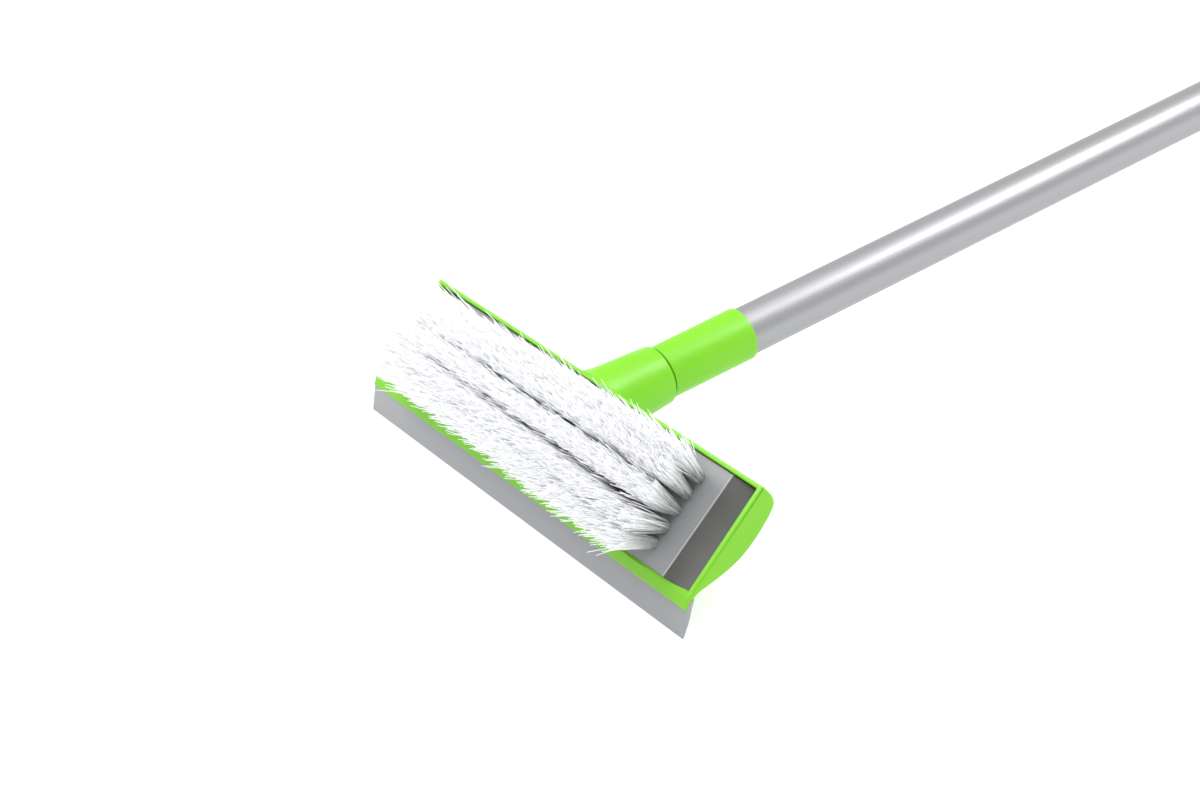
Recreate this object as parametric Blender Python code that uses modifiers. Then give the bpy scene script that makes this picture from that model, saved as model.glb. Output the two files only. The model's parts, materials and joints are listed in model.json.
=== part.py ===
"""Window cleaning squeegee with a washing brush, on a telescopic pole.

Units are metres, +Z is up. The object lies as it is put down: the rubber blade's edge and the
pole's end cap touch the ground, the brush faces up and forward, and the pole runs back along +Y.

Two frames carry the pieces. In the pole frame Y runs along the pole from the middle of the
brush's rim plane. In the head frame X runs along the head, Y runs across it from the blade's side
to the far side (w in the outlines below) and Z points out of the brush (n in the outlines).
"""
import math

import bmesh
import bpy
from mathutils import Matrix, Vector

MM = 0.001

# head housing
HEAD_LENGTH = 240 * MM
RIM_WIDTH = 53.1 * MM
END_DEPTH = 12.6 * MM       # of the flat end faces
BELLY_DEPTH = 16.9 * MM     # between the ends
END_ROUNDING = 15 * MM      # over which the end face swells into the belly
END_WALL = 2.7 * MM
FAR_WALL = 1.9 * MM
NEAR_WALL = 1.0 * MM
FLOOR_WALL = 2.0 * MM
HEAD_TILT = math.radians(38.1)  # of the rim plane against the pole

# brush
FACE_NEAR = 0.6 * MM        # how far the block's face lies under the rim, by the blade
FACE_FAR = 2.0 * MM         # and by the far wall
FACE_LENGTH = 202 * MM
SLOPE_DROP_NEAR = 1.1 * MM  # of the block's sloping ends
SLOPE_DROP_FAR = 4.5 * MM
PLATE_THICKNESS = 3.2 * MM
ROW_COUNT = 5
ROW_PITCH = 7.8 * MM
ROW_LENGTH = 179 * MM
ROW_WIDTH = 5.2 * MM
ROW_TIP_WIDTH = 9.8 * MM
ROW_TIP_FLARE = 12.5 * MM   # of each end of a row
ROW_LEAN = math.radians(6.5)
BRISTLE_LENGTH = 28.5 * MM

# screws that hold the brush block
SCREW_X = 70 * MM
SCREW_RIB = 12 * MM
SCREW_HEAD_RADIUS = 3.0 * MM
SCREW_HEAD_HEIGHT = 2.0 * MM
SCREW_SHANK_RADIUS = 1.4 * MM
SCREW_LENGTH = 8.0 * MM
SCREW_SEAT = 12.6 * MM      # depth of the seats under the rim
SCREW_SHARES = (0.38, 0.80)  # where the screws stand, as shares of the rim's width
ROOM_SHARES = (0.26, 0.88)  # span of the rooms under the block's plate, as such shares

# neck and its thread
NECK_END = 55.6 * MM
NECK_WALL = 1.0 * MM        # round the neck's mouth
NECK_FOOT = 7.0 * MM        # how much wider the flare is inside the housing
NECK_SOCKET_DEPTH = 4.5 * MM
SHOULDER_WIDTH = 3.65 * MM  # of the collar's shoulder, outside the thread
SEAL_THICKNESS = 1.4 * MM
THREAD_HEIGHT = 1.4 * MM
THREAD_PITCH = 5.0 * MM
THREAD_TURNS = 3
THREAD_LEAD = 0.1           # of a turn, that the groove runs on past the ridge's end
THREAD_ROOT_HALF = 1.3 * MM
THREAD_CREST_HALF = 0.6 * MM
SPIGOT_LENGTH = 22 * MM
SPIGOT_BORE = 5.5 * MM

# pole
COLLAR_WALL = 0.8 * MM
COLLAR_LENGTH = 45.5 * MM
COLLAR_WEB = 6 * MM
COLLAR_PLUG = 24 * MM
TUBE_RADIUS = 11.0 * MM
TUBE_PLAY = 0.6 * MM        # between the inner tube and the outer tube's wall
TUBE_WALL = 0.9 * MM
INNER_TUBE_LENGTH = 520 * MM
OUTER_TUBE_LENGTH = 455 * MM
TUBE_SHOWING = 310 * MM     # between the collar and the lock nut
RIVET_PLACE = 17 * MM       # from the inner tube's end
RIVET_RADIUS = 1.6 * MM
RIVET_HEAD = 2.7 * MM
RIVET_REACH = 5 * MM        # into the tube
BUSH_FLANGE = 6 * MM
BUSH_PLUG = 18 * MM
STOP_PLACE = 60 * MM        # of the rolled stop groove, from the outer tube's mouth
STOP_SHARE = 0.75           # of the play between the tubes, that the groove takes up

# twist lock
NUT_LENGTH = 40 * MM
NUT_WALL = 1.75 * MM        # under its flutes
NUT_FLUTES = 12
NUT_FLUTE_DEPTH = 0.7 * MM
NUT_MOUTH_WALL = 2.5 * MM
COLLET_FINGERS = 16 * MM
COLLET_SLEEVE = 22 * MM
COLLET_WALL = 1.6 * MM
COLLET_SLIT = 1.4 * MM

# grip and hanging eye
GRIP_LENGTH = 125 * MM
GRIP_WALL = 2.1 * MM
GRIP_RIB = 0.7 * MM
GRIP_RIB_COUNT = 9
CAP_OVERHANG = 0.95 * MM    # beyond the grip
CAP_THICKNESS = 9 * MM
CAP_PLUG = 20 * MM
CAP_FLOOR = 2 * MM          # that the eye's clip bears on
EYE_STEM_RADIUS = 3.0 * MM
EYE_FOOT = 4.5 * MM         # length of the stem's flare under the ring
EYE_RADIUS = 12.0 * MM
EYE_HOLE_RADIUS = 6.5 * MM
EYE_THICKNESS = 5.0 * MM
CLIP_RADIUS = 5.5 * MM
CLIP_THICKNESS = 1.4 * MM
CLIP_DEPTH = 0.8 * MM       # of its groove

# clearances
GAP = 0.25 * MM             # between pieces that touch
RUNNING = 0.2 * MM          # between pieces that turn or slide in each other
THREAD_CLEARANCE = 0.4 * MM

ROUND = 32                  # sides of a round piece

# radii that follow from the pieces inside
COLLAR_RADIUS = TUBE_RADIUS + GAP + COLLAR_WALL
NECK_RADIUS = COLLAR_RADIUS + GAP + NECK_WALL
THREAD_CORE = COLLAR_RADIUS - SHOULDER_WIDTH
OUTER_TUBE_RADIUS = TUBE_RADIUS + TUBE_PLAY + TUBE_WALL
STOP_DEPTH = STOP_SHARE * TUBE_PLAY
COLLET_RADIUS = OUTER_TUBE_RADIUS + GAP + COLLET_WALL
NUT_RADIUS = COLLET_RADIUS + RUNNING + NUT_WALL + NUT_FLUTE_DEPTH
CAP_RADIUS = OUTER_TUBE_RADIUS + GAP + GRIP_WALL + CAP_OVERHANG

# Half sections of the housing's back, from the far rim to the blade, as shares of the rim's
# width and of the depth: the flat end face and the fuller belly.
END_SHAPE = [
    (1.000, 0.00), (0.998, 0.24), (0.987, 0.52), (0.968, 0.72), (0.934, 0.85), (0.878, 0.92),
    (0.800, 0.97), (0.706, 1.00), (0.593, 0.99), (0.480, 0.92), (0.377, 0.78), (0.273, 0.57),
    (0.179, 0.36), (0.105, 0.21), (0.056, 0.18),
]
BELLY_SHAPE = [
    (1.000, 0.00), (0.998, 0.24), (0.992, 0.50), (0.972, 0.71), (0.927, 0.86), (0.855, 0.95),
    (0.763, 0.99), (0.659, 1.00), (0.546, 0.99), (0.424, 0.93), (0.311, 0.84), (0.211, 0.72),
    (0.124, 0.58), (0.045, 0.43), (-0.030, 0.33),
]

# Near edge of the housing and the rubber blade, across the head and out of the rim plane.
LIP = [(-4.1 * MM, -2.75 * MM), (-3.75 * MM, -2.1 * MM), (0.5 * MM, 0.0)]
NEAR_SLANT = [(3.6 * MM, -2.1 * MM), (1.4 * MM, -0.6 * MM)]
BLADE = [
    (-14.0 * MM, -9.8 * MM), (-3.8 * MM, -2.75 * MM), (0.3 * MM, -1.75 * MM),
    (2.2 * MM, -2.95 * MM), (-2.0 * MM, -4.95 * MM), (-7.0 * MM, -7.85 * MM),
    (-13.3 * MM, -10.3 * MM),
]

GREEN = ((0.27, 0.78, 0.06), 0.35, 0.0)
RUBBER = ((0.46, 0.47, 0.49), 0.55, 0.0)
BLOCK_GREY = ((0.28, 0.28, 0.29), 0.45, 0.0)
BRISTLE = ((0.86, 0.87, 0.90), 0.5, 0.0)
TUBE_GREY = ((0.42, 0.42, 0.44), 0.35, 0.8)
STEEL = ((0.62, 0.62, 0.63), 0.3, 1.0)
DARK = ((0.05, 0.05, 0.055), 0.6, 0.0)

# places along the pole, counted from the rim plane
COLLAR_END = NECK_END + COLLAR_LENGTH
SHOULDER = NECK_END - NECK_SOCKET_DEPTH + SEAL_THICKNESS + 2 * GAP
SPIGOT_TIP = SHOULDER - SPIGOT_LENGTH
TUBE_START = NECK_END + COLLAR_WEB
TUBE_END = TUBE_START + INNER_TUBE_LENGTH
NUT_FRONT = COLLAR_END + TUBE_SHOWING
FINGERS_FRONT = NUT_FRONT + NUT_MOUTH_WALL + 2 * GAP
OUTER_START = FINGERS_FRONT + COLLET_FINGERS + GAP
OUTER_END = OUTER_START + OUTER_TUBE_LENGTH
CAP_FRONT = OUTER_END + GAP
CAP_END = CAP_FRONT + CAP_THICKNESS


def new_collection(name):
    """A collection linked into the scene."""
    collection = bpy.data.collections.new(name)
    bpy.context.scene.collection.children.link(collection)
    return collection


def make_material(name, look):
    """A Principled material from its colour, roughness and metallic value."""
    colour, roughness, metallic = look
    material = bpy.data.materials.new(name)
    material.use_nodes = True
    shader = material.node_tree.nodes["Principled BSDF"]
    shader.inputs["Base Color"].default_value = (*colour, 1.0)
    shader.inputs["Roughness"].default_value = roughness
    shader.inputs["Metallic"].default_value = metallic
    return material


def place(name, mesh, frame, matrix=None, look=None):
    """An object in its frame: a piece of the product if it has a look, otherwise a cutter."""
    piece = bpy.data.objects.new(name, mesh)
    piece.parent = frame
    piece.matrix_local = matrix or Matrix.Identity(4)
    if look is None:
        CUTTERS.objects.link(piece)
        piece.hide_render = True
        piece.display_type = "WIRE"
    else:
        PIECES.objects.link(piece)
        mesh.materials.clear()
        mesh.materials.append(make_material(name, look))
        if len(mesh.polygons):
            mesh.shade_smooth()
            mesh.set_sharp_from_angle(angle=math.radians(35))
    return piece


def boolean(piece, other, operation="DIFFERENCE"):
    """Add an exact Boolean with another object, which is left as a guide."""
    modifier = piece.modifiers.new(operation.lower(), "BOOLEAN")
    modifier.operation = operation
    modifier.object = other
    return piece


def evaluated_mesh(source, name):
    """The mesh of an object with its modifiers, welded; the object itself is removed."""
    bpy.context.view_layer.update()
    evaluated = source.evaluated_get(bpy.context.evaluated_depsgraph_get())
    mesh = bpy.data.meshes.new_from_object(evaluated)
    mesh.name = name
    bpy.data.objects.remove(source, do_unlink=True)
    work = bmesh.new()
    work.from_mesh(mesh)
    bmesh.ops.remove_doubles(work, verts=work.verts, dist=1e-6)
    bmesh.ops.holes_fill(work, edges=work.edges, sides=16)
    bmesh.ops.recalc_face_normals(work, faces=work.faces)
    work.to_mesh(mesh)
    work.free()
    return mesh


def flat_outline(name, points, length):
    """A mesh of a closed flat outline, extruded by half the length to each side along Z."""
    curve = bpy.data.curves.new(name, "CURVE")
    curve.dimensions = "2D"
    curve.fill_mode = "BOTH"
    curve.extrude = length / 2
    spline = curve.splines.new("POLY")
    spline.points.add(len(points) - 1)
    for target, point in zip(spline.points, points):
        target.co = (point[0], point[1], 0.0, 1.0)
    spline.use_cyclic_u = True
    source = bpy.data.objects.new(name, curve)
    CUTTERS.objects.link(source)
    return evaluated_mesh(source, name)


def along_head(start, end):
    """Turn an outline's X, Y, Z into the head's across, out and along, centred between two x."""
    turn = Matrix(((0, 0, 1, 0), (1, 0, 0, 0), (0, 1, 0, 0), (0, 0, 0, 1)))
    return Matrix.Translation(((start + end) / 2, 0, 0)) @ turn


def bar(name, points, start, end, look=None):
    """A bar along the head with the given section in (w, n)."""
    mesh = flat_outline(name, points, end - start)
    return place(name, mesh, HEAD, along_head(start, end), look)


def box(name, low, high, frame, look=None):
    """A box between two corners."""
    mesh = bpy.data.meshes.new(name)
    work = bmesh.new()
    bmesh.ops.create_cube(work, size=1.0)
    low, high = Vector(low), Vector(high)
    bmesh.ops.scale(work, vec=high - low, verts=work.verts)
    bmesh.ops.translate(work, vec=(low + high) / 2, verts=work.verts)
    work.to_mesh(mesh)
    work.free()
    return place(name, mesh, frame, None, look)


def turned(name, profile, frame, matrix=None, look=None, steps=ROUND):
    """A turned piece from (radius, height) points that run down its outer side.

    A profile that starts and ends on the axis stays open; any other is closed to a ring.
    """
    mesh = bpy.data.meshes.new(name)
    count = len(profile)
    on_axis = profile[0][0] == 0 and profile[-1][0] == 0
    edges = [(i, i + 1) for i in range(count - 1)]
    if not on_axis:
        edges.append((count - 1, 0))
    mesh.from_pydata([(radius, 0.0, height) for radius, height in profile], edges, [])
    source = bpy.data.objects.new(name, mesh)
    CUTTERS.objects.link(source)
    screw = source.modifiers.new("turn", "SCREW")
    screw.steps = steps
    screw.render_steps = steps
    screw.use_merge_vertices = True
    screw.merge_threshold = 1e-6
    return place(name, evaluated_mesh(source, name), frame, matrix or POLE_TURN, look)


def helix(name, section, turns, matrix, steps=24):
    """A closed section swept up a right-hand helix of the thread's pitch, as a cutter or core."""
    mesh = bpy.data.meshes.new(name)
    edges = [(i, (i + 1) % len(section)) for i in range(len(section))]
    mesh.from_pydata([(radius, 0.0, height) for radius, height in section], edges, [])
    source = bpy.data.objects.new(name, mesh)
    CUTTERS.objects.link(source)
    screw = source.modifiers.new("thread", "SCREW")
    screw.steps = steps
    screw.render_steps = steps
    screw.screw_offset = THREAD_PITCH
    screw.iterations = turns
    return place(name, evaluated_mesh(source, name), POLE, matrix)


def offset(points, distance):
    """A closed outline moved outward by a distance, keeping its corners sharp."""
    area = sum(a[0] * b[1] - b[0] * a[1] for a, b in zip(points, points[1:] + points[:1]))
    side = math.copysign(1.0, area) * distance
    moved = []
    for before, here, after in zip(points[-1:] + points[:-1], points, points[1:] + points[:1]):
        into = (Vector(here) - Vector(before)).normalized()
        out = (Vector(after) - Vector(here)).normalized()
        normal_in = Vector((into.y, -into.x))
        normal_out = Vector((out.y, -out.x))
        bisector = (normal_in + normal_out) / (1 + normal_in.dot(normal_out))
        moved.append(tuple(Vector(here) + bisector * side))
    return moved


def smooth(points, pieces=2):
    """A finer line through the points (Catmull-Rom), with its ends kept."""
    padded = [points[0], *points, points[-1]]
    line = []
    for p0, p1, p2, p3 in zip(padded, padded[1:], padded[2:], padded[3:]):
        for step in range(pieces):
            t = step / pieces
            line.append(tuple(
                0.5 * (2 * b + (c - a) * t + (2 * a - 5 * b + 4 * c - d) * t * t
                       + (3 * b - a - 3 * c + d) * t ** 3)
                for a, b, c, d in zip(p0, p1, p2, p3)))
    return line + [points[-1]]


def back_line(x):
    """The housing's back at a distance along the head, from the far rim to the blade."""
    inward = (HEAD_LENGTH / 2 - abs(x)) / END_ROUNDING
    fullness = math.sqrt(min(1.0, max(0.0, inward)))
    line = []
    for end, belly in zip(END_SHAPE, BELLY_SHAPE):
        across = end[0] + (belly[0] - end[0]) * fullness
        end_depth = end[1] * END_DEPTH
        depth = end_depth + (belly[1] * BELLY_DEPTH - end_depth) * fullness
        line.append((across * RIM_WIDTH, -depth))
    return line


def hollow(x, wall):
    """The housing's inside in (w, n) at a distance along the head, open above the rim."""
    skin = [*back_line(x), *LIP]
    inset = offset(skin, -wall)[1:len(END_SHAPE)]
    far = RIM_WIDTH - FAR_WALL
    near, low = NEAR_SLANT[0]
    floor = [(min(w, far), n) for w, n in inset if w > near + 1 * MM and n < low]
    above = 14 * MM
    return [(NEAR_WALL, above), (far, above), *floor, *NEAR_SLANT, (NEAR_WALL, 0.0)]


def face_height(w):
    """Height of the brush block's face across the head."""
    share = (w - NEAR_WALL) / (RIM_WIDTH - FAR_WALL - NEAR_WALL)
    return -(FACE_NEAR + (FACE_FAR - FACE_NEAR) * share)


def rib_rooms(half_length):
    """Spans along the head between the ribs that carry the screws."""
    inner = SCREW_X - SCREW_RIB / 2
    outer = SCREW_X + SCREW_RIB / 2
    return [(-half_length, -outer), (-inner, inner), (outer, half_length)]


def screw_places():
    """Where the four screws stand in the head frame, at their seats."""
    return [Vector((x, share * RIM_WIDTH, -SCREW_SEAT))
            for x in (-SCREW_X, SCREW_X) for share in SCREW_SHARES]


def cavity_end():
    """Where the housing's inside stops along the head."""
    return HEAD_LENGTH / 2 - END_WALL


def thread_section(grown):
    """Section of the thread's ridge, grown on all sides by a clearance."""
    foot = THREAD_CORE - 0.3 * MM + grown * 0.5
    crest = THREAD_CORE + THREAD_HEIGHT + grown
    wide = THREAD_ROOT_HALF + grown
    narrow = THREAD_CREST_HALF + grown
    return [(crest, narrow), (crest, -narrow), (foot, -wide), (foot, wide)]


def make_frames():
    """The stance, the pole frame tilted so that the end cap touches down, and the head frame."""
    stance = bpy.data.objects.new("stance", None)
    pole = bpy.data.objects.new("pole_frame", None)
    head = bpy.data.objects.new("head_frame", None)
    for empty in (stance, pole, head):
        bpy.context.scene.collection.objects.link(empty)
    tip = Vector((BLADE[0][0] - RIM_WIDTH / 2, BLADE[0][1]))
    tip.rotate(Matrix.Rotation(HEAD_TILT, 2))
    heel = Vector((CAP_END - CAP_THICKNESS / 2, -CAP_RADIUS))
    pole.parent = stance
    pole.rotation_euler.x = -math.atan2(heel.y - tip.y, heel.x - tip.x)
    head.parent = pole
    head.matrix_local = (Matrix.Rotation(HEAD_TILT, 4, "X")
                         @ Matrix.Translation((0, -RIM_WIDTH / 2, 0)))
    return stance, pole, head


def make_housing():
    """The green head: a lofted shell, the flared neck and the lip over the blade."""
    half = HEAD_LENGTH / 2
    steps = [0, 0.6 * MM, 2 * MM, 4 * MM, 7 * MM, 11 * MM, END_ROUNDING]
    stations = [half - step for step in steps]
    stations += [-x for x in reversed(stations)]
    mesh = bpy.data.meshes.new("head_housing")
    work = bmesh.new()
    rings = []
    for x in stations:
        outline = [*smooth(back_line(x)), *LIP]
        rings.append([work.verts.new((x, w, n)) for w, n in outline])
    for ring, following in zip(rings, rings[1:]):
        for i, vertex in enumerate(ring):
            j = (i + 1) % len(ring)
            work.faces.new((vertex, ring[j], following[j], following[i]))
    work.faces.new(rings[0])
    work.faces.new(rings[-1])
    bmesh.ops.recalc_face_normals(work, faces=work.faces)
    work.to_mesh(mesh)
    work.free()
    housing = place("head_housing", mesh, HEAD, None, GREEN)
    boolean(housing, neck_body(), "UNION")
    over = box("over_rim", (-half, -30 * MM, 0), (half, RIM_WIDTH + 1 * MM, 40 * MM), HEAD)
    boolean(housing, over)
    end = cavity_end()
    boolean(housing, bar("brush_room", hollow(end, FLOOR_WALL), -end, end))
    belly = hollow(0, FLOOR_WALL)
    for number, (start, stop) in enumerate(rib_rooms(FACE_LENGTH / 2)):
        boolean(housing, bar(f"belly_room_{number}", belly, start, stop))
    boolean(housing, bar("blade_slot", offset(BLADE, GAP), -half - MM, half + MM))
    for number, seat in enumerate(screw_places()):
        boolean(housing, screw_hole(f"seat_{number}", seat, 0.6 * MM, 0.4 * MM))
    for cutter in socket_cutters():
        boolean(housing, cutter)
    return housing


def neck_body():
    """The neck, a turned flare that runs from inside the housing to the pole's collar."""
    lip = 0.8 * MM
    foot = 0.22 * NECK_END
    profile = [(0.0, NECK_END), (NECK_RADIUS - lip, NECK_END), (NECK_RADIUS, NECK_END - lip)]
    for share, wider in ((0.81, 0.12), (0.63, 0.17), (0.42, 0.27), (0.31, 0.51)):
        profile.append((NECK_RADIUS + wider * NECK_FOOT, share * NECK_END))
    profile += [(NECK_RADIUS + NECK_FOOT, foot), (0.0, foot)]
    return turned("neck", profile, POLE)


def socket_cutters():
    """What is cut from the neck for the pole: the smooth mouth, the bore and the thread."""
    mouth = NECK_END - NECK_SOCKET_DEPTH
    floor = SPIGOT_TIP - 3 * MM
    mouth_radius = COLLAR_RADIUS + GAP
    bore_radius = THREAD_CORE + THREAD_CLEARANCE
    beyond = NECK_END + 1 * MM
    profile = [
        (0.0, beyond), (mouth_radius, beyond), (mouth_radius, mouth),
        (bore_radius, mouth), (bore_radius, floor), (0.0, floor),
    ]
    bore = turned("neck_bore", profile, POLE)
    lead = Matrix.Translation((0, 0, thread_start() - THREAD_LEAD * THREAD_PITCH))
    lead = lead @ Matrix.Rotation(-THREAD_LEAD * math.tau, 4, "Z")
    ridge = helix("neck_thread", thread_section(THREAD_CLEARANCE), THREAD_TURNS + 1,
                  POLE_TURN @ lead)
    return [bore, ridge]


def thread_start():
    """Where the thread's ridge begins along the pole."""
    return SPIGOT_TIP + THREAD_ROOT_HALF + 1 * MM


def screw_hole(name, seat, head_room, shank_room):
    """A cutter for one screw: a counterbore from the back and a hole for the shank."""
    head = SCREW_HEAD_RADIUS + head_room
    shank = SCREW_SHANK_RADIUS + shank_room
    reach = SCREW_LENGTH + 1 * MM
    profile = [(0.0, reach), (shank, reach), (shank, 0.0), (head, 0.0),
               (head, -8 * MM), (0.0, -8 * MM)]
    return turned(name, profile, HEAD, Matrix.Translation(seat), steps=24)


def make_block():
    """The grey block that carries the bristles, with sloping ends and rooms under its plate."""
    end = cavity_end()
    section = offset(hollow(end, FLOOR_WALL), -GAP)
    block = bar("brush_block", section, GAP - end, end - GAP, BLOCK_GREY)
    wide = 10 * MM
    top = [(-wide, face_height(-wide)), (RIM_WIDTH + wide, face_height(RIM_WIDTH + wide)),
           (RIM_WIDTH + wide, 30 * MM), (-wide, 30 * MM)]
    boolean(block, bar("above_face", top, -HEAD_LENGTH, HEAD_LENGTH))
    for side in (-1, 1):
        boolean(block, slope_cutter(side))
    low = face_height(RIM_WIDTH) - PLATE_THICKNESS
    near, far = (share * RIM_WIDTH for share in ROOM_SHARES)
    room = [(near, -30 * MM), (far, -30 * MM), (far, low), (near, low)]
    for number, (start, stop) in enumerate(rib_rooms(FACE_LENGTH / 2 - 4 * MM)):
        boolean(block, bar(f"plate_room_{number}", room, start, stop))
    for number, seat in enumerate(screw_places()):
        boolean(block, screw_hole(f"block_hole_{number}", seat, 0.6 * MM, GAP))
    return block


def slope_cutter(side):
    """The wedge of air over one sloping end of the block."""
    start = FACE_LENGTH / 2
    far_out = HEAD_LENGTH / 2
    stretch = (far_out - start) / (cavity_end() - start)
    corners = []
    for w, drop in ((-10 * MM, SLOPE_DROP_NEAR), (RIM_WIDTH + 10 * MM, SLOPE_DROP_FAR)):
        height = face_height(w)
        corners += [(side * start, w, height), (side * far_out, w, height - drop * stretch)]
        corners += [(side * start, w, 30 * MM), (side * far_out, w, 30 * MM)]
    mesh = bpy.data.meshes.new("end_slope")
    work = bmesh.new()
    for corner in corners:
        work.verts.new(corner)
    bmesh.ops.convex_hull(work, input=work.verts)
    work.to_mesh(mesh)
    work.free()
    return place("end_slope", mesh, HEAD)


def make_bristle_row(number):
    """One row of tufts as a plain wedge that widens and leans outward to its tips."""
    rank = number - (ROW_COUNT - 1) / 2
    foot = Vector((0, RIM_WIDTH / 2 + rank * ROW_PITCH, 0))
    foot.z = face_height(foot.y) + 2 * GAP
    lean = rank * ROW_LEAN
    rise = Vector((0, math.sin(lean), math.cos(lean))) * BRISTLE_LENGTH
    mesh = bpy.data.meshes.new(f"bristle_row_{number + 1}")
    work = bmesh.new()
    bmesh.ops.create_cube(work, size=1.0)
    for vertex in work.verts:
        tip = vertex.co.z > 0
        length = ROW_LENGTH + (2 * ROW_TIP_FLARE if tip else 0)
        width = ROW_TIP_WIDTH if tip else ROW_WIDTH
        spread = Vector((vertex.co.x * length, vertex.co.y * width, 0))
        vertex.co = foot + spread + (rise if tip else Vector())
    work.to_mesh(mesh)
    work.free()
    return place(mesh.name, mesh, HEAD, None, BRISTLE)


def make_blade():
    """The rubber blade, held by its root in the slot under the lip."""
    half = HEAD_LENGTH / 2
    return bar("squeegee_blade", BLADE, -half, half, RUBBER)


def make_block_screw(number, seat):
    """A pan-head screw with a cross recess, driven from the back into the block."""
    head, shank = SCREW_HEAD_RADIUS, SCREW_SHANK_RADIUS
    height = SCREW_HEAD_HEIGHT
    soft = 0.6 * MM
    profile = [
        (0.0, SCREW_LENGTH), (shank * 0.4, SCREW_LENGTH), (shank, SCREW_LENGTH - 2 * MM),
        (shank, -GAP), (head, -GAP), (head, soft - height), (head - soft, -height),
        (0.0, -height),
    ]
    name = f"block_screw_{number + 1}"
    screw = turned(name, profile, HEAD, Matrix.Translation(seat), STEEL, steps=24)
    arm, slot, depth = 1.7 * MM, 0.35 * MM, 1.0 * MM
    for reach in (Vector((arm, slot, depth)), Vector((slot, arm, depth))):
        middle = seat - Vector((0, 0, height))
        boolean(screw, box("recess", middle - reach, middle + reach, HEAD))
    return screw


def make_connector():
    """The green collar: it sleeves and plugs the tube and screws into the neck."""
    sleeve = TUBE_RADIUS + GAP
    plug = TUBE_RADIUS - TUBE_WALL - GAP
    soft = 0.6 * MM
    start = TUBE_START - GAP
    profile = [
        (sleeve, COLLAR_END), (COLLAR_RADIUS - soft * 0.4, COLLAR_END),
        (COLLAR_RADIUS + soft * 0.25, COLLAR_END - soft), (COLLAR_RADIUS, SHOULDER + soft),
        (COLLAR_RADIUS - soft, SHOULDER), (THREAD_CORE, SHOULDER),
        (THREAD_CORE, SPIGOT_TIP + 1 * MM), (THREAD_CORE - 1 * MM, SPIGOT_TIP),
        (SPIGOT_BORE, SPIGOT_TIP), (SPIGOT_BORE, SHOULDER), (0.0, SHOULDER),
    ]
    inside = [
        (0.0, TUBE_START + COLLAR_PLUG), (plug - 2 * MM, TUBE_START + COLLAR_PLUG),
        (plug, TUBE_START + COLLAR_PLUG - 2 * MM), (plug, start), (sleeve, start),
    ]
    collar = turned("pole_connector", [*inside, *profile], POLE, None, GREEN)
    ridge = helix("spigot_thread", thread_section(0.0), THREAD_TURNS,
                  POLE_TURN @ Matrix.Translation((0, 0, thread_start())))
    boolean(collar, ridge, "UNION")
    return boolean(collar, rivet_hole("rivet_hole_1"))


def rivet_matrix():
    """Stands a turned piece on the pole's underside, pointing down, at the rivet's place."""
    place_along = TUBE_START + RIVET_PLACE
    return Matrix.Translation((0, place_along, 0)) @ Matrix.Rotation(math.pi, 4, "X")


def rivet_hole(name):
    """A cutter for the rivet's shank."""
    radius = RIVET_RADIUS + GAP
    high = COLLAR_RADIUS + 5 * MM
    low = TUBE_RADIUS - RIVET_REACH - GAP
    profile = [(0.0, high), (radius, high), (radius, low), (0.0, low)]
    return turned(name, profile, POLE, rivet_matrix(), steps=24)


def make_rivet():
    """The rivet that pins the collar to the tube, with its head on the underside."""
    seat = COLLAR_RADIUS + GAP
    tip = TUBE_RADIUS - RIVET_REACH
    profile = [
        (0.0, seat + 0.9 * MM), (RIVET_HEAD * 0.6, seat + 0.8 * MM), (RIVET_HEAD, seat + 0.3 * MM),
        (RIVET_HEAD, seat), (RIVET_RADIUS, seat), (RIVET_RADIUS, tip), (0.0, tip),
    ]
    return turned("connector_rivet", profile, POLE, rivet_matrix(), STEEL, steps=24)


def make_seal_ring():
    """The rubber washer between the collar's shoulder and the bottom of the neck's mouth."""
    low = NECK_END - NECK_SOCKET_DEPTH + GAP
    high = SHOULDER - GAP
    outer = COLLAR_RADIUS - 0.4 * MM
    inner = THREAD_CORE + GAP
    profile = [(outer, high), (outer, low), (inner, low), (inner, high)]
    return turned("seal_ring", profile, POLE, None, DARK)


def make_inner_tube():
    """The thin pole tube that carries the head."""
    outer, inner = TUBE_RADIUS, TUBE_RADIUS - TUBE_WALL
    profile = [(outer, TUBE_END), (outer, TUBE_START), (inner, TUBE_START), (inner, TUBE_END)]
    tube = turned("inner_tube", profile, POLE, None, TUBE_GREY)
    return boolean(tube, rivet_hole("rivet_hole_2"))


def make_bush():
    """The guide bush at the inner tube's far end, which the stop groove catches."""
    plug = TUBE_RADIUS - TUBE_WALL - GAP
    guide = OUTER_TUBE_RADIUS - TUBE_WALL - RUNNING
    bore = plug - 1.8 * MM
    start = TUBE_END - BUSH_PLUG
    end = TUBE_END + GAP + BUSH_FLANGE
    profile = [
        (guide - 0.8 * MM, end), (guide, end - 0.8 * MM), (guide, TUBE_END + GAP),
        (plug, TUBE_END + GAP), (plug, start), (bore, start), (bore, end),
    ]
    return turned("tube_bush", profile, POLE, None, DARK)


def make_outer_tube():
    """The thick pole tube, with the rolled groove that stops the bush."""
    outer = OUTER_TUBE_RADIUS
    inner = outer - TUBE_WALL
    stop = OUTER_START + STOP_PLACE
    groove = [(stop + 2 * MM, 0.0), (stop + 0.7 * MM, STOP_DEPTH),
              (stop - 0.7 * MM, STOP_DEPTH), (stop - 2 * MM, 0.0)]
    outside = [(outer - depth, height) for height, depth in groove]
    inside = [(inner - depth, height) for height, depth in reversed(groove)]
    profile = [(outer, OUTER_END), *outside, (outer, OUTER_START),
               (inner, OUTER_START), *inside, (inner, OUTER_END)]
    return turned("outer_tube", profile, POLE, None, TUBE_GREY)


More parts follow.
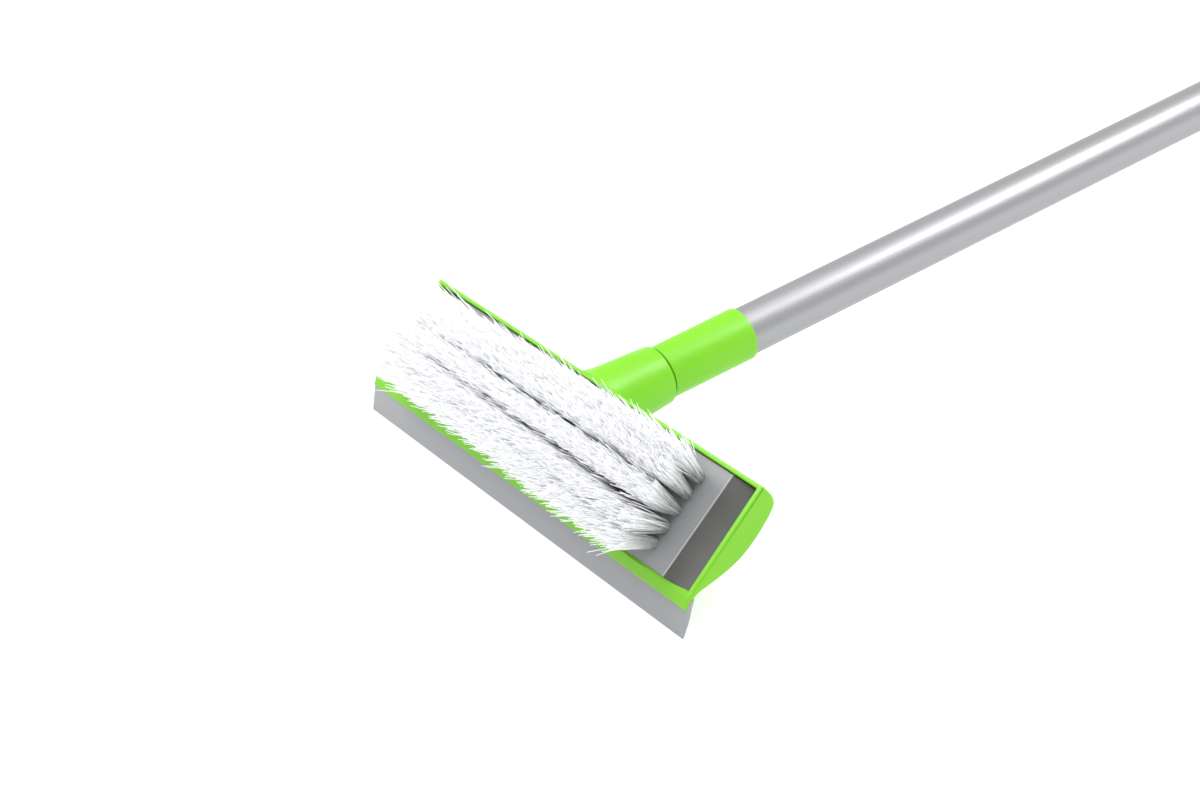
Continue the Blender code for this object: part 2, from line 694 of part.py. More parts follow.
def make_collet():
    """The split collet on the outer tube's mouth, whose fingers grip the inner tube."""
    bore = TUBE_RADIUS + RUNNING
    sleeve = OUTER_TUBE_RADIUS + GAP
    outer = COLLET_RADIUS
    back = OUTER_START - GAP
    end = OUTER_START + COLLET_SLEEVE
    profile = [
        (outer, end), (outer, back - 3 * MM), (outer - 1.2 * MM, FINGERS_FRONT),
        (bore, FINGERS_FRONT), (bore, back), (sleeve, back), (sleeve, end),
    ]
    collet = turned("lock_collet", profile, POLE, None, DARK)
    width = COLLET_SLIT / 2
    deep = FINGERS_FRONT + COLLET_FINGERS * 0.8
    for reach in ((width, 30 * MM), (30 * MM, width)):
        low = (-reach[0], FINGERS_FRONT - MM, -reach[1])
        high = (reach[0], deep, reach[1])
        boolean(collet, box("collet_slit", low, high, POLE))
    return collet


def make_lock_nut():
    """The fluted nut that turns on the collet and squeezes its fingers."""
    count = NUT_FLUTES * 8
    outline = []
    for step in range(count):
        angle = 2 * math.pi * step / count
        radius = NUT_RADIUS - NUT_FLUTE_DEPTH * (0.5 - 0.5 * math.cos(NUT_FLUTES * angle))
        outline.append((radius * math.cos(angle), radius * math.sin(angle)))
    mesh = flat_outline("lock_nut", outline, NUT_LENGTH)
    middle = Matrix.Translation((0, 0, NUT_FRONT + NUT_LENGTH / 2))
    nut = place("lock_nut", mesh, POLE, POLE_TURN @ middle, GREEN)
    collet = COLLET_RADIUS + RUNNING
    mouth = TUBE_RADIUS + 2 * RUNNING
    wall = NUT_FRONT + NUT_MOUTH_WALL
    over, under = NUT_FRONT + NUT_LENGTH + MM, NUT_FRONT - MM
    profile = [(0.0, over), (collet, over), (collet, wall), (mouth, wall), (mouth, under),
               (0.0, under)]
    return boolean(nut, turned("nut_bore", profile, POLE))


def make_grip():
    """The soft grip sleeve, ribbed round its middle."""
    inner = OUTER_TUBE_RADIUS + GAP
    outer = inner + GRIP_WALL
    end = CAP_FRONT - GAP
    start = end - GRIP_LENGTH
    soft = 1.2 * MM
    profile = [(outer - soft, end), (outer, end - soft)]
    pitch = (GRIP_LENGTH - 30 * MM) / GRIP_RIB_COUNT
    for number in range(GRIP_RIB_COUNT):
        top = end - 15 * MM - number * pitch
        profile += [(outer, top - 0.15 * pitch), (outer + GRIP_RIB, top - 0.35 * pitch),
                    (outer + GRIP_RIB, top - 0.65 * pitch), (outer, top - 0.85 * pitch)]
    profile += [(outer, start + soft), (outer - soft, start), (inner, start), (inner, end)]
    return turned("grip", profile, POLE, None, RUBBER)


def make_end_cap():
    """The cap that plugs the outer tube, with the bore for the hanging eye's stem."""
    plug = OUTER_TUBE_RADIUS - TUBE_WALL - GAP
    soft = 1.5 * MM
    stem = EYE_STEM_RADIUS + RUNNING
    room = CLIP_RADIUS + 2.5 * MM
    floor = CAP_FRONT + CAP_FLOOR
    profile = [
        (stem, CAP_END), (CAP_RADIUS - 4 * MM, CAP_END), (CAP_RADIUS - soft, CAP_END - soft),
        (CAP_RADIUS, CAP_END - CAP_THICKNESS / 2), (CAP_RADIUS, CAP_FRONT + soft),
        (CAP_RADIUS - soft, CAP_FRONT), (plug, CAP_FRONT), (plug, CAP_FRONT - CAP_PLUG),
        (room, CAP_FRONT - CAP_PLUG), (room, floor), (stem, floor),
    ]
    return turned("end_cap", profile, POLE, None, GREEN)


def make_eye():
    """The swivelling hanging eye: a flat ring on a stem that runs through the cap."""
    middle = CAP_END + GAP + EYE_RADIUS + 1 * MM
    ring = [
        (EYE_RADIUS, EYE_THICKNESS / 2 - 0.8 * MM), (EYE_RADIUS, 0.8 * MM - EYE_THICKNESS / 2),
        (EYE_RADIUS - 0.8 * MM, -EYE_THICKNESS / 2), (EYE_HOLE_RADIUS, -EYE_THICKNESS / 2),
        (EYE_HOLE_RADIUS, EYE_THICKNESS / 2), (EYE_RADIUS - 0.8 * MM, EYE_THICKNESS / 2),
    ]
    flat = Matrix.Translation((0, middle, 0))
    eye = turned("hanging_eye", ring, POLE, flat, GREEN)
    foot = CAP_END + GAP
    neck_radius = EYE_STEM_RADIUS + 2.6 * MM
    inside = CAP_FRONT + CAP_FLOOR - 3 * GAP - CLIP_THICKNESS - 1 * MM
    profile = [
        (0.0, foot + EYE_FOOT), (neck_radius * 0.8, foot + EYE_FOOT), (neck_radius, foot),
        (EYE_STEM_RADIUS, foot), (EYE_STEM_RADIUS, inside), (0.0, inside),
    ]
    boolean(eye, turned("eye_stem", profile, POLE), "UNION")
    groove_top = CAP_FRONT + CAP_FLOOR - GAP
    low = groove_top - CLIP_THICKNESS - 2 * GAP
    wide, deep = EYE_STEM_RADIUS + MM, EYE_STEM_RADIUS - CLIP_DEPTH
    groove = [(wide, groove_top), (wide, low), (deep, low), (deep, groove_top)]
    return boolean(eye, turned("clip_groove", groove, POLE))


def make_clip():
    """The spring clip in the stem's groove, which keeps the eye in the cap."""
    top = CAP_FRONT + CAP_FLOOR - 2 * GAP
    low = top - CLIP_THICKNESS
    inner = EYE_STEM_RADIUS - CLIP_DEPTH + GAP
    profile = [(CLIP_RADIUS, top), (CLIP_RADIUS, low), (inner, low), (inner, top)]
    clip = turned("eye_clip", profile, POLE, None, STEEL, steps=32)
    slot = inner * 0.8
    cut = box("clip_mouth", (-slot, low - MM, 0), (slot, top + MM, 2 * CLIP_RADIUS), POLE)
    return boolean(clip, cut)


def settle(stance):
    """Put the origin under the middle of the object, on the ground."""
    bpy.context.view_layer.update()
    graph = bpy.context.evaluated_depsgraph_get()
    low = Vector((math.inf,) * 3)
    high = Vector((-math.inf,) * 3)
    for piece in PIECES.objects:
        evaluated = piece.evaluated_get(graph)
        for vertex in evaluated.data.vertices:
            point = piece.matrix_world @ vertex.co
            low = Vector(map(min, low, point))
            high = Vector(map(max, high, point))
    stance.location = (-(low.x + high.x) / 2, -(low.y + high.y) / 2, -low.z)
    bpy.context.view_layer.update()


def build():
    """Make every piece of the squeegee."""
    make_housing()
    make_block()
    for number in range(ROW_COUNT):
        make_bristle_row(number)
    make_blade()
    for number, seat in enumerate(screw_places()):
        make_block_screw(number, seat)
    make_seal_ring()
    make_connector()
    make_rivet()
    make_inner_tube()
    make_bush()
    make_collet()
    make_lock_nut()
    make_outer_tube()
    make_grip()
    make_end_cap()
    make_eye()
    make_clip()


for old in list(bpy.context.scene.objects):
    bpy.data.objects.remove(old, do_unlink=True)
PIECES = new_collection("window_squeegee")
CUTTERS = new_collection("cutters")
POLE_TURN = Matrix.Rotation(-math.pi / 2, 4, "X")  # a turned piece's Z onto the pole's Y
STANCE, POLE, HEAD = make_frames()
build()
settle(STANCE)
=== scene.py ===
# %% [markdown]
# # Window cleaning squeegee: the looks
#
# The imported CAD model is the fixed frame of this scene. It says where every piece is and what it
# rides on. The cells below give each piece its fine surface and its finish.

# %% Load the frame
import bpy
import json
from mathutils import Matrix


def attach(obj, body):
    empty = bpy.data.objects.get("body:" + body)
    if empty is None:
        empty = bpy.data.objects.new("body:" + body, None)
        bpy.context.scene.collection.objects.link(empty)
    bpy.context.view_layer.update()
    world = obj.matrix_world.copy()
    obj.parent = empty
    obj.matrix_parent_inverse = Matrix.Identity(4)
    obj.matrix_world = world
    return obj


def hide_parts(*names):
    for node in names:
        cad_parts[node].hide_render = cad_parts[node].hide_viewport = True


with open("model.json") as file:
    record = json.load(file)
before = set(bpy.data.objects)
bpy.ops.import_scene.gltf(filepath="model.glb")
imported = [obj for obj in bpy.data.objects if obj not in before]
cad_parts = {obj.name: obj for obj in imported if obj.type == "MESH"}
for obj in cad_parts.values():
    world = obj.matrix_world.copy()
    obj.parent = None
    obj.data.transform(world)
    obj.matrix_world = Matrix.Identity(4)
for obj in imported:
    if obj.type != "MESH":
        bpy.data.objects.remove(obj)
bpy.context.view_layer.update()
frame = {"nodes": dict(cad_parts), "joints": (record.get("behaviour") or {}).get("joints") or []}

# %% Modules and the unit
import json
import math

import bmesh
import bpy
import numpy as np
from mathutils import Matrix, Vector

MM = 0.001

# %% [markdown]
# ## Two sets of directions
#
# The squeegee lies on the ground, so nothing on it is square to X, Y and Z except along the
# head. It is easier to model in the object's own directions. The pole frame has its axis along
# the pole. The head frame is turned against it by the angle between brush and pole. Both start
# in the middle of the brush's rim, on the pole's axis. The frame's neck joint tells where that
# axis runs.

# %% Directions of the pole and the head
NECK_END = 55.6 * MM
RIM_WIDTH = 53.1 * MM
HEAD_TILT = math.radians(38.1)

neck_joint = next(joint for joint in frame["joints"] if joint["name"] == "neck_screw")
along_pole = np.array(neck_joint["axis"], float)
along_head = np.array([1.0, 0.0, 0.0])
over_pole = np.cross(along_head, along_pole)
middle = np.array(neck_joint["pos_m"], float) - NECK_END * along_pole
across_head = math.cos(HEAD_TILT) * along_pole + math.sin(HEAD_TILT) * over_pole
out_of_brush = math.cos(HEAD_TILT) * over_pole - math.sin(HEAD_TILT) * along_pole


def head_points(x, w, n):
    """Points x along the head, w across it from the blade's side and n out of the rim plane."""
    x, w, n = np.broadcast_arrays(x, w, n)
    return (middle + x[..., None] * along_head + (w[..., None] - RIM_WIDTH / 2) * across_head
            + n[..., None] * out_of_brush)


def pole_points(x, s, z):
    """Points x sideways, s along the pole from the rim plane and z over the pole's axis."""
    x, s, z = np.broadcast_arrays(x, s, z)
    return (middle + x[..., None] * along_head + s[..., None] * along_pole
            + z[..., None] * over_pole)


print("rim's middle", middle.round(4), "pole's direction", along_pole.round(4))

# %% [markdown]
# ## The camera
#
# A long lens from about a metre away looks down on the brush from its right-hand end. A long lens
# keeps the head's two long edges nearly parallel. The place and the aim are given in the head's
# own directions, so they hold wherever the object stands.

# %% Camera
CAMERA_PLACE = (786.4 * MM, 37.2 * MM, 718.7 * MM)
CAMERA_AIM = (6.8 * MM, 46.8 * MM, -7.6 * MM)
CAMERA_UP = (-0.373, 0.832, 0.411)
CAMERA_LENS = 75.4


def add_camera(place, aim, up, lens):
    """A camera at a place, looking at a point, turned so that a direction points up."""
    eye = Vector(head_points(*map(np.array, place)))
    target = Vector(head_points(*map(np.array, aim)))
    upward = Vector(head_points(*map(np.array, up)) - head_points(*[np.array(0.0)] * 3))
    back = (eye - target).normalized()
    right = upward.cross(back).normalized()
    turn = Matrix((right, back.cross(right), back)).transposed()
    data = bpy.data.cameras.new("camera")
    data.lens = lens
    data.clip_start, data.clip_end = 0.01, 50.0
    camera = bpy.data.objects.new("camera", data)
    bpy.context.scene.collection.objects.link(camera)
    camera.matrix_world = Matrix.Translation(eye) @ turn.to_4x4()
    bpy.context.scene.camera = camera
    return camera


camera = add_camera(CAMERA_PLACE, CAMERA_AIM, CAMERA_UP, CAMERA_LENS)
print("camera", [round(v, 3) for v in camera.location])

# %% [markdown]
# ## Light and floor
#
# The object lies in a white product studio. A white world gives the even part of the light. The
# main soft box hangs above the head's left end, so the left of the brush is the brightest and
# surfaces that face right are a step darker. A second box behind and to the right draws the
# highlight along the collar and the pole. Weaker boxes overhead and on the camera's side keep
# the shaded ends readable. The floor is plain and pale and partly self-lit, so that shadows on
# it and the green it throws back stay faint.

# %% Helpers for node materials
def set_inputs(node, inputs):
    """Set a node's input values by name."""
    for key, value in inputs.items():
        node.inputs[key].default_value = value


def new_material(name, inputs):
    """A node material with its Principled shader and that shader's input values."""
    material = bpy.data.materials.new(name)
    material.use_nodes = True
    shader = material.node_tree.nodes["Principled BSDF"]
    set_inputs(shader, inputs)
    return material, material.node_tree, shader


def add_node(tree, kind, inputs=None, **settings):
    """A shader node with its settings and input values."""
    node = tree.nodes.new(kind)
    for key, value in settings.items():
        setattr(node, key, value)
    set_inputs(node, inputs or {})
    return node


def noise(tree, scale, detail=2.0, stretch=None):
    """Noise on the object's own coordinates, with the axes scaled first if a stretch is given."""
    texture = add_node(tree, "ShaderNodeTexNoise", {"Scale": scale, "Detail": detail})
    place = add_node(tree, "ShaderNodeTexCoord").outputs["Object"]
    if stretch is not None:
        mapping = add_node(tree, "ShaderNodeMapping", {"Scale": stretch})
        tree.links.new(place, mapping.inputs["Vector"])
        place = mapping.outputs["Vector"]
    tree.links.new(place, texture.inputs["Vector"])
    return texture.outputs["Fac"]


def blend(tree, factor, low, high, target=None):
    """Mix two colours by a factor from 0 to 1 and feed the mixture to an input if given."""
    mix = add_node(tree, "ShaderNodeMix", data_type="RGBA")
    for socket, colour in ((mix.inputs[6], low), (mix.inputs[7], high)):
        if isinstance(colour, bpy.types.NodeSocket):
            tree.links.new(colour, socket)
        else:
            socket.default_value = (*colour, 1.0)
    tree.links.new(factor, mix.inputs[0])
    if target is not None:
        tree.links.new(mix.outputs[2], target)
    return mix.outputs[2]


def spread(tree, factor, low, high, target, start=0.0):
    """Map a factor from start to 1 onto a range and feed it to an input."""
    limits = {"From Min": start, "To Min": low, "To Max": high}
    scaled = add_node(tree, "ShaderNodeMapRange", limits)
    tree.links.new(factor, scaled.inputs["Value"])
    tree.links.new(scaled.outputs["Result"], target)


def emboss(tree, height, strength, distance, shader):
    """Let a height stand out of the surface as a bump."""
    bump = add_node(tree, "ShaderNodeBump", {"Strength": strength, "Distance": distance})
    tree.links.new(height, bump.inputs["Height"])
    tree.links.new(bump.outputs["Normal"], shader.inputs["Normal"])


def scaled(colour, share):
    """A colour times a share, no brighter than white."""
    return tuple(min(1.0, channel * share) for channel in colour)


# %% World, lights and floor
def add_area_light(name, place, size, power):
    """A square area light that points at the head."""
    data = bpy.data.lights.new(name, "AREA")
    data.size = size
    data.energy = power
    light = bpy.data.objects.new(name, data)
    light.location = place
    aim = Vector(tuple(middle)) - Vector(place)
    light.rotation_euler = aim.to_track_quat("-Z", "Y").to_euler()
    bpy.context.scene.collection.objects.link(light)


WHITE = (1.0, 1.0, 1.0, 1.0)
world = bpy.data.worlds.new("studio")
world.use_nodes = True
set_inputs(world.node_tree.nodes["Background"], {"Color": WHITE, "Strength": 0.66})
bpy.context.scene.world = world
bpy.context.scene.view_settings.view_transform = "Standard"

add_area_light("main_box", (-1.0, -0.9, 1.5), 1.0, 20.0)
add_area_light("overhead", (0.1, 0.1, 1.9), 1.4, 9.0)
add_area_light("camera_side", (1.5, -0.9, 0.7), 1.0, 1.5)
add_area_light("pole_side", (0.6, 1.0, 1.5), 0.9, 22.0)

FLOOR_HALF = 30.0
corners = [(x * FLOOR_HALF, y * FLOOR_HALF, 0) for x, y in ((-1, -1), (1, -1), (1, 1), (-1, 1))]
floor_mesh = bpy.data.meshes.new("floor")
floor_mesh.from_pydata(corners, [], [(0, 1, 2, 3)])
floor = bpy.data.objects.new("floor", floor_mesh)
bpy.context.scene.collection.objects.link(floor)
paper, _, _ = new_material("studio_paper", {
    "Base Color": (0.45, 0.45, 0.45, 1.0), "Roughness": 0.9, "Emission Color": WHITE,
    "Emission Strength": 0.68})
floor_mesh.materials.append(paper)

# %% [markdown]
# ## Surfaces from arrays
#
# Nearly every piece here is a row of outlines: a bar along the head, or a turned piece round the
# pole. So one helper makes a mesh from a grid of points, with the rows or the columns closed to a
# ring where the piece closes. Another rounds the corners of an outline, because no moulded or
# rolled edge is truly sharp, and light shows its radius.

# %% Grid meshes and rounded outlines
def grid_mesh(name, points, ring_rows=False, ring_columns=True, caps=()):
    """A mesh over a grid of points (rows, columns, 3).

    Each cell of the grid is a face. A ring joins the last row or column to the first, and caps
    names the end rows that one flat face closes.
    """
    rows, columns = points.shape[:2]
    row = np.arange(rows if ring_rows else rows - 1)[:, None]
    column = np.arange(columns if ring_columns else columns - 1)[None, :]
    next_row, next_column = (row + 1) % rows, (column + 1) % columns
    corners = [row * columns + column, row * columns + next_column,
               next_row * columns + next_column, next_row * columns + column]
    faces = np.stack(np.broadcast_arrays(*corners), -1).reshape(-1, 4).tolist()
    if 0 in caps:
        faces.append(list(range(columns))[::-1])
    if -1 in caps:
        faces.append([(rows - 1) * columns + c for c in range(columns)])
    mesh = bpy.data.meshes.new(name)
    mesh.from_pydata(points.reshape(-1, 3), [], faces)
    return mesh


def face_outwards(mesh, weld=1e-7):
    """Merge doubled points and turn all the faces of a closed mesh to point out."""
    work = bmesh.new()
    work.from_mesh(mesh)
    bmesh.ops.remove_doubles(work, verts=work.verts, dist=weld)
    bmesh.ops.recalc_face_normals(work, faces=work.faces)
    if work.calc_volume(signed=True) < 0:
        bmesh.ops.reverse_faces(work, faces=work.faces)
    work.to_mesh(mesh)
    work.free()
    return mesh


def solid(name, rows):
    """A closed solid from a stack of outlines, with flat ends."""
    return face_outwards(grid_mesh(name, np.array(rows), caps=(0, -1)))


def section_points(x, section):
    """Points of an outline in (w, n) at one place along the head."""
    return head_points(np.full(len(section), x), section[:, 0], section[:, 1])


def rounded(outline, radii, closed=True, steps=5):
    """The outline with each corner replaced by an arc of its radius.

    The arc touches both sides at radius / tan(half the corner's angle) from the corner.
    """
    outline = [np.array(point, float) for point in outline]
    radii = np.broadcast_to(radii, len(outline))
    points = []
    for i, (corner, radius) in enumerate(zip(outline, radii)):
        if radius == 0 or (not closed and i in (0, len(outline) - 1)):
            points.append(corner)
            continue
        before = outline[i - 1] - corner
        after = outline[(i + 1) % len(outline)] - corner
        before, after = before / np.linalg.norm(before), after / np.linalg.norm(after)
        half = math.acos(np.clip(before @ after, -1, 1)) / 2
        inward = (before + after) / np.linalg.norm(before + after)
        centre = corner + inward * radius / math.sin(half)
        start = corner + before * radius / math.tan(half) - centre
        end = corner + after * radius / math.tan(half) - centre
        swing = math.atan2(start[0] * end[1] - start[1] * end[0], start @ end)
        angles = np.linspace(0, swing, steps + 1)
        turn = np.stack([np.cos(angles), np.sin(angles)], -1)
        across = np.array([-start[1], start[0]])
        points.extend(centre + turn[:, :1] * start + turn[:, 1:] * across)
    return np.array(points)


def add_piece(mesh, body, material, replaced=(), sharp=30):
    """Put a finished mesh into the scene as a smooth-shaded piece that rides on a body."""
    mesh.shade_smooth()
    mesh.set_sharp_from_angle(angle=math.radians(sharp))
    piece = bpy.data.objects.new(mesh.name, mesh)
    bpy.context.scene.collection.objects.link(piece)
    mesh.materials.clear()
    mesh.materials.append(material)
    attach(piece, body)
    if replaced:
        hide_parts(*replaced)
    print(mesh.name, len(mesh.polygons), "faces, rides on", body)


# %% Turned shapes and bars
def turned_mesh(name, profile, sides=96, closed=False, relief=0.0):
    """A profile of (radius, place along the pole) turned round the pole's axis.

    Each point goes round a circle of its radius, less the relief there. An open profile that
    stays off the axis has its two ends closed by flat faces.
    """
    profile = np.asarray(profile)
    angle = np.linspace(0, 2 * np.pi, sides, endpoint=False)
    radius, place = profile[:, :1] - relief, profile[:, 1:]
    points = pole_points(radius * np.cos(angle), place + 0 * angle, radius * np.sin(angle))
    mesh = grid_mesh(name, points, ring_rows=closed, caps=() if closed else (0, -1))
    return face_outwards(mesh)


def add_attribute(mesh, name, values):
    """Give every vertex of a mesh a number that its material can read."""
    attribute = mesh.attributes.new(name, "FLOAT", "POINT")
    attribute.data.foreach_set("value", values.astype(np.float32))


def combine(mesh, tools):
    """Cut or join a mesh with others in turn: tools is a list of (mesh, operation)."""
    piece = bpy.data.objects.new(mesh.name, mesh)
    helpers = [piece]
    for number, (tool, operation) in enumerate(tools):
        other = bpy.data.objects.new(f"tool_{number}", tool)
        helpers.append(other)
        modifier = piece.modifiers.new(f"step_{number}", "BOOLEAN")
        modifier.operation = operation
        modifier.object = other
    for helper in helpers:
        bpy.context.scene.collection.objects.link(helper)
    bpy.context.view_layer.update()
    graph = bpy.context.evaluated_depsgraph_get()
    result = bpy.data.meshes.new_from_object(piece.evaluated_get(graph))
    name = mesh.name
    for helper in helpers:
        data = helper.data
        bpy.data.objects.remove(helper)
        bpy.data.meshes.remove(data)
    result.name = name
    return result


# %% [markdown]
# ## Lime green plastic
#
# The head, the collar, the lock nut and the cap are moulded in one lime green plastic with a
# satin face. A moulded face is never quite even: the colour drifts a little and the surface has a
# faint orange-peel texture. Both come from noise on the object's own coordinates. The plastic lets
# a little light in, so it has some subsurface scattering.

# %% Lime green plastic
LIME = (0.205, 0.600, 0.016)


def moulded_plastic(name, colour, roughness, drift=0.06, grain=900.0, relief=0.02, glow=0.0):
    """Moulded plastic: a slow drift in its colour and roughness, and a fine surface grain."""
    material, tree, shader = new_material(name, {
        "Subsurface Weight": glow, "Subsurface Radius": (1.0, 1.0, 0.4),
        "Subsurface Scale": 0.6 * MM, "Specular IOR Level": 0.4})
    slow = noise(tree, 22.0, 3.0)
    blend(tree, slow, scaled(colour, 1 - drift), scaled(colour, 1 + drift),
          shader.inputs["Base Color"])
    spread(tree, slow, roughness - 0.04, roughness + 0.05, shader.inputs["Roughness"])
    emboss(tree, noise(tree, grain), 0.5, relief * MM, shader)
    return material


lime_plastic = moulded_plastic("lime_plastic", LIME, 0.36, glow=0.15)

# %% [markdown]
# ## The head housing
#
# The housing is a shallow tub with a rounded back, a lip that covers the blade's root and a neck
# for the pole. It could be a subdivision cage, but the rims would need many loops. Here its
# section across the head is an outline, carried along the head and swelling from the flat end
# faces to the belly. The tub's inside is cut with a tool that flares at its top, as a router's
# round-over bit does, so the rim comes out with soft edges.

# %% Section of the housing's back
HEAD_LENGTH = 240 * MM
END_DEPTH = 12.6 * MM
BELLY_DEPTH = 16.9 * MM
END_ROUNDING = 15 * MM
EDGE_SOFTNESS = 0.8 * MM

# shares of the rim's width and of the depth, from the far rim to the blade's back
END_SHAPE = np.array([
    (1.000, 0.00), (0.998, 0.24), (0.987, 0.52), (0.968, 0.72), (0.934, 0.85), (0.878, 0.92),
    (0.800, 0.97), (0.706, 1.00), (0.593, 0.99), (0.480, 0.92), (0.377, 0.78), (0.273, 0.57),
    (0.179, 0.36), (0.105, 0.21), (0.056, 0.18)])
BELLY_SHAPE = np.array([
    (1.000, 0.00), (0.998, 0.24), (0.992, 0.50), (0.972, 0.71), (0.927, 0.86), (0.855, 0.95),
    (0.763, 0.99), (0.659, 1.00), (0.546, 0.99), (0.424, 0.93), (0.311, 0.84), (0.211, 0.72),
    (0.124, 0.58), (0.045, 0.43), (-0.030, 0.33)])
LIP = [(-4.1 * MM, -2.75 * MM), (-3.75 * MM, -2.1 * MM), (0.5 * MM, 0.0)]


def smooth_line(points, pieces=5):
    """A Catmull-Rom line through the points: cubic pieces whose slope at each point is half
    the step between its neighbours."""
    padded = np.vstack([points[:1], points, points[-1:]])
    p0, p1, p2, p3 = padded[:-3, None], padded[1:-2, None], padded[2:-1, None], padded[3:, None]
    t = (np.arange(pieces) / pieces)[None, :, None]
    line = 0.5 * (2 * p1 + (p2 - p0) * t + (2 * p0 - 5 * p1 + 4 * p2 - p3) * t ** 2
                  + (3 * p1 - p0 - 3 * p2 + p3) * t ** 3)
    return np.vstack([line.reshape(-1, 2), points[-1:]])


def winding(outline):
    """The sign of a closed outline's area: 1 if it runs anticlockwise, -1 if clockwise."""
    ahead = np.roll(outline, -1, 0)
    return np.sign(np.sum(outline[:, 0] * ahead[:, 1] - ahead[:, 0] * outline[:, 1]))


def housing_section(fullness, inset=0.0):
    """The housing's solid section: end and belly shapes mixed by fullness, moved in by an inset.

    The far rim's corner and the lip are rounded. The inset fades towards the thin lip, which
    has no room for it.
    """
    depth = np.stack([END_SHAPE[:, 1] * END_DEPTH, BELLY_SHAPE[:, 1] * BELLY_DEPTH])
    across = np.stack([END_SHAPE[:, 0], BELLY_SHAPE[:, 0]]) * RIM_WIDTH
    mix = np.array([1 - fullness, fullness])
    back = smooth_line(np.stack([mix @ across, -(mix @ depth)], -1))
    outline = np.vstack([back, LIP])
    radii = np.zeros(len(outline))
    radii[0] = EDGE_SOFTNESS
    radii[-3:] = 0.2 * MM, 0.2 * MM, 0.5 * MM
    outline = rounded(outline, radii)
    along = np.roll(outline, -1, 0) - np.roll(outline, 1, 0)
    along /= np.linalg.norm(along, axis=1, keepdims=True)
    inward = np.stack([-along[:, 1], along[:, 0]], -1)
    room = np.clip((outline[:, :1] + 4 * MM) / (8 * MM), 0.2, 1.0)
    return outline + winding(outline) * inward * inset * room


def housing_body():
    """The solid body: sections from end to end, each end's edge rounded by a quarter circle."""
    turn = np.linspace(0, np.pi / 2, 5)
    edge = [(EDGE_SOFTNESS * (1 - math.sin(t)), EDGE_SOFTNESS * (1 - math.cos(t))) for t in turn]
    swell = np.linspace(0, 1, 12)[1:] ** 1.6 * (END_ROUNDING - EDGE_SOFTNESS) + EDGE_SOFTNESS
    stations = [(step, inset) for inset, step in edge] + [(step, 0.0) for step in swell]
    half = HEAD_LENGTH / 2
    rows = []
    for step, inset in stations:
        fullness = math.sqrt(min(1.0, step / END_ROUNDING))
        rows.append((half - step, housing_section(fullness, inset)))
    rows += [(-x, section) for x, section in reversed(rows)]
    return solid("head_housing_shell", [section_points(x, section) for x, section in rows])


# %% Tools that cut the housing
END_WALL = 2.7 * MM
FAR_WALL = 1.9 * MM
NEAR_WALL = 1.0 * MM


def loop(half_length, near, far, corner, steps=6):
    """A rounded rectangle in (x, w): four quarter circles joined by straight sides."""
    outline = [(half_length, far), (-half_length, far), (-half_length, near), (half_length, near)]
    return rounded(outline, corner, steps=steps)


def stacked(name, levels):
    """A solid from rounded rectangles stacked out of the head.

    Each level is (half length, near side, far side, corner's radius, n).
    """
    rows = []
    for half_length, near, far, corner, n in levels:
        outline = loop(half_length, near, far, corner)
        rows.append(head_points(outline[:, 0], outline[:, 1], np.full(len(outline), n)))
    return solid(name, rows)


def tub_cutter():
    """The tub's inside. From the rim down it narrows by a quarter circle to the walls."""
    half, far = HEAD_LENGTH / 2 - END_WALL, RIM_WIDTH - FAR_WALL
    soft = 0.7 * MM
    levels = [(half + soft, NEAR_WALL - 0.4 * MM, far + soft, 1.4 * MM, 14 * MM)]
    for turn in np.linspace(0, np.pi / 2, 5):
        flare = soft * (1 - math.sin(turn))
        levels.append((half + flare, NEAR_WALL - 0.55 * flare, far + flare, 0.7 * MM + flare,
                       0.03 * MM - soft * (1 - math.cos(turn))))
    corner = 0.7 * MM
    slant = [(1.4, -0.75), (3.6, -2.1), (7.0, -3.6), (12.0, -6.2), (20.0, -8.0)]
    levels += [(half, near * MM, far, corner, depth * MM) for near, depth in slant]
    return stacked("tub", levels)


# radius and place along the pole, from the mouth to the housing
NECK_LINE = np.array([
    (13.3, 55.6), (13.5, 53.0), (14.1, 46.0), (14.5, 38.0), (14.9, 31.0), (15.7, 25.0),
    (17.3, 19.6), (19.8, 14.5), (22.0, 9.0)]) * MM
MOUTH_RADIUS, MOUTH_DEPTH = 12.35 * MM, 4.5 * MM
BORE_RADIUS, BORE_START = 9.9 * MM, 28 * MM


def neck_mesh():
    """The neck: a turned flare, wide at the housing and slim at the pole's collar."""
    side = smooth_line(NECK_LINE, 4)
    lip = 0.7 * MM
    end = rounded([(8 * MM, NECK_END), (side[0][0], NECK_END), tuple(side[2])], [0, lip, 0],
                  closed=False)
    flare = turned_mesh("neck", np.vstack([end, side[3:]]))
    over = stacked("over_rim", [(60 * MM, -20 * MM, 80 * MM, 0, n * MM) for n in (-0.05, 40)])
    return combine(flare, [(over, "DIFFERENCE")])


def neck_bore():
    """The smooth mouth that takes the collar, and the narrower bore for its spigot."""
    step = NECK_END - MOUTH_DEPTH
    profile = [(MOUTH_RADIUS, NECK_END + MM), (MOUTH_RADIUS, step), (BORE_RADIUS, step),
               (BORE_RADIUS, BORE_START)]
    return turned_mesh("neck_bore", profile, sides=80)


# the blade's outline in (w, n), from the wiping edge round by the root
BLADE_LINE = np.array([
    (-14.0, -9.8), (-3.8, -2.75), (0.3, -1.75), (2.2, -2.95), (-2.0, -4.95), (-7.0, -7.85),
    (-13.3, -10.3)]) * MM


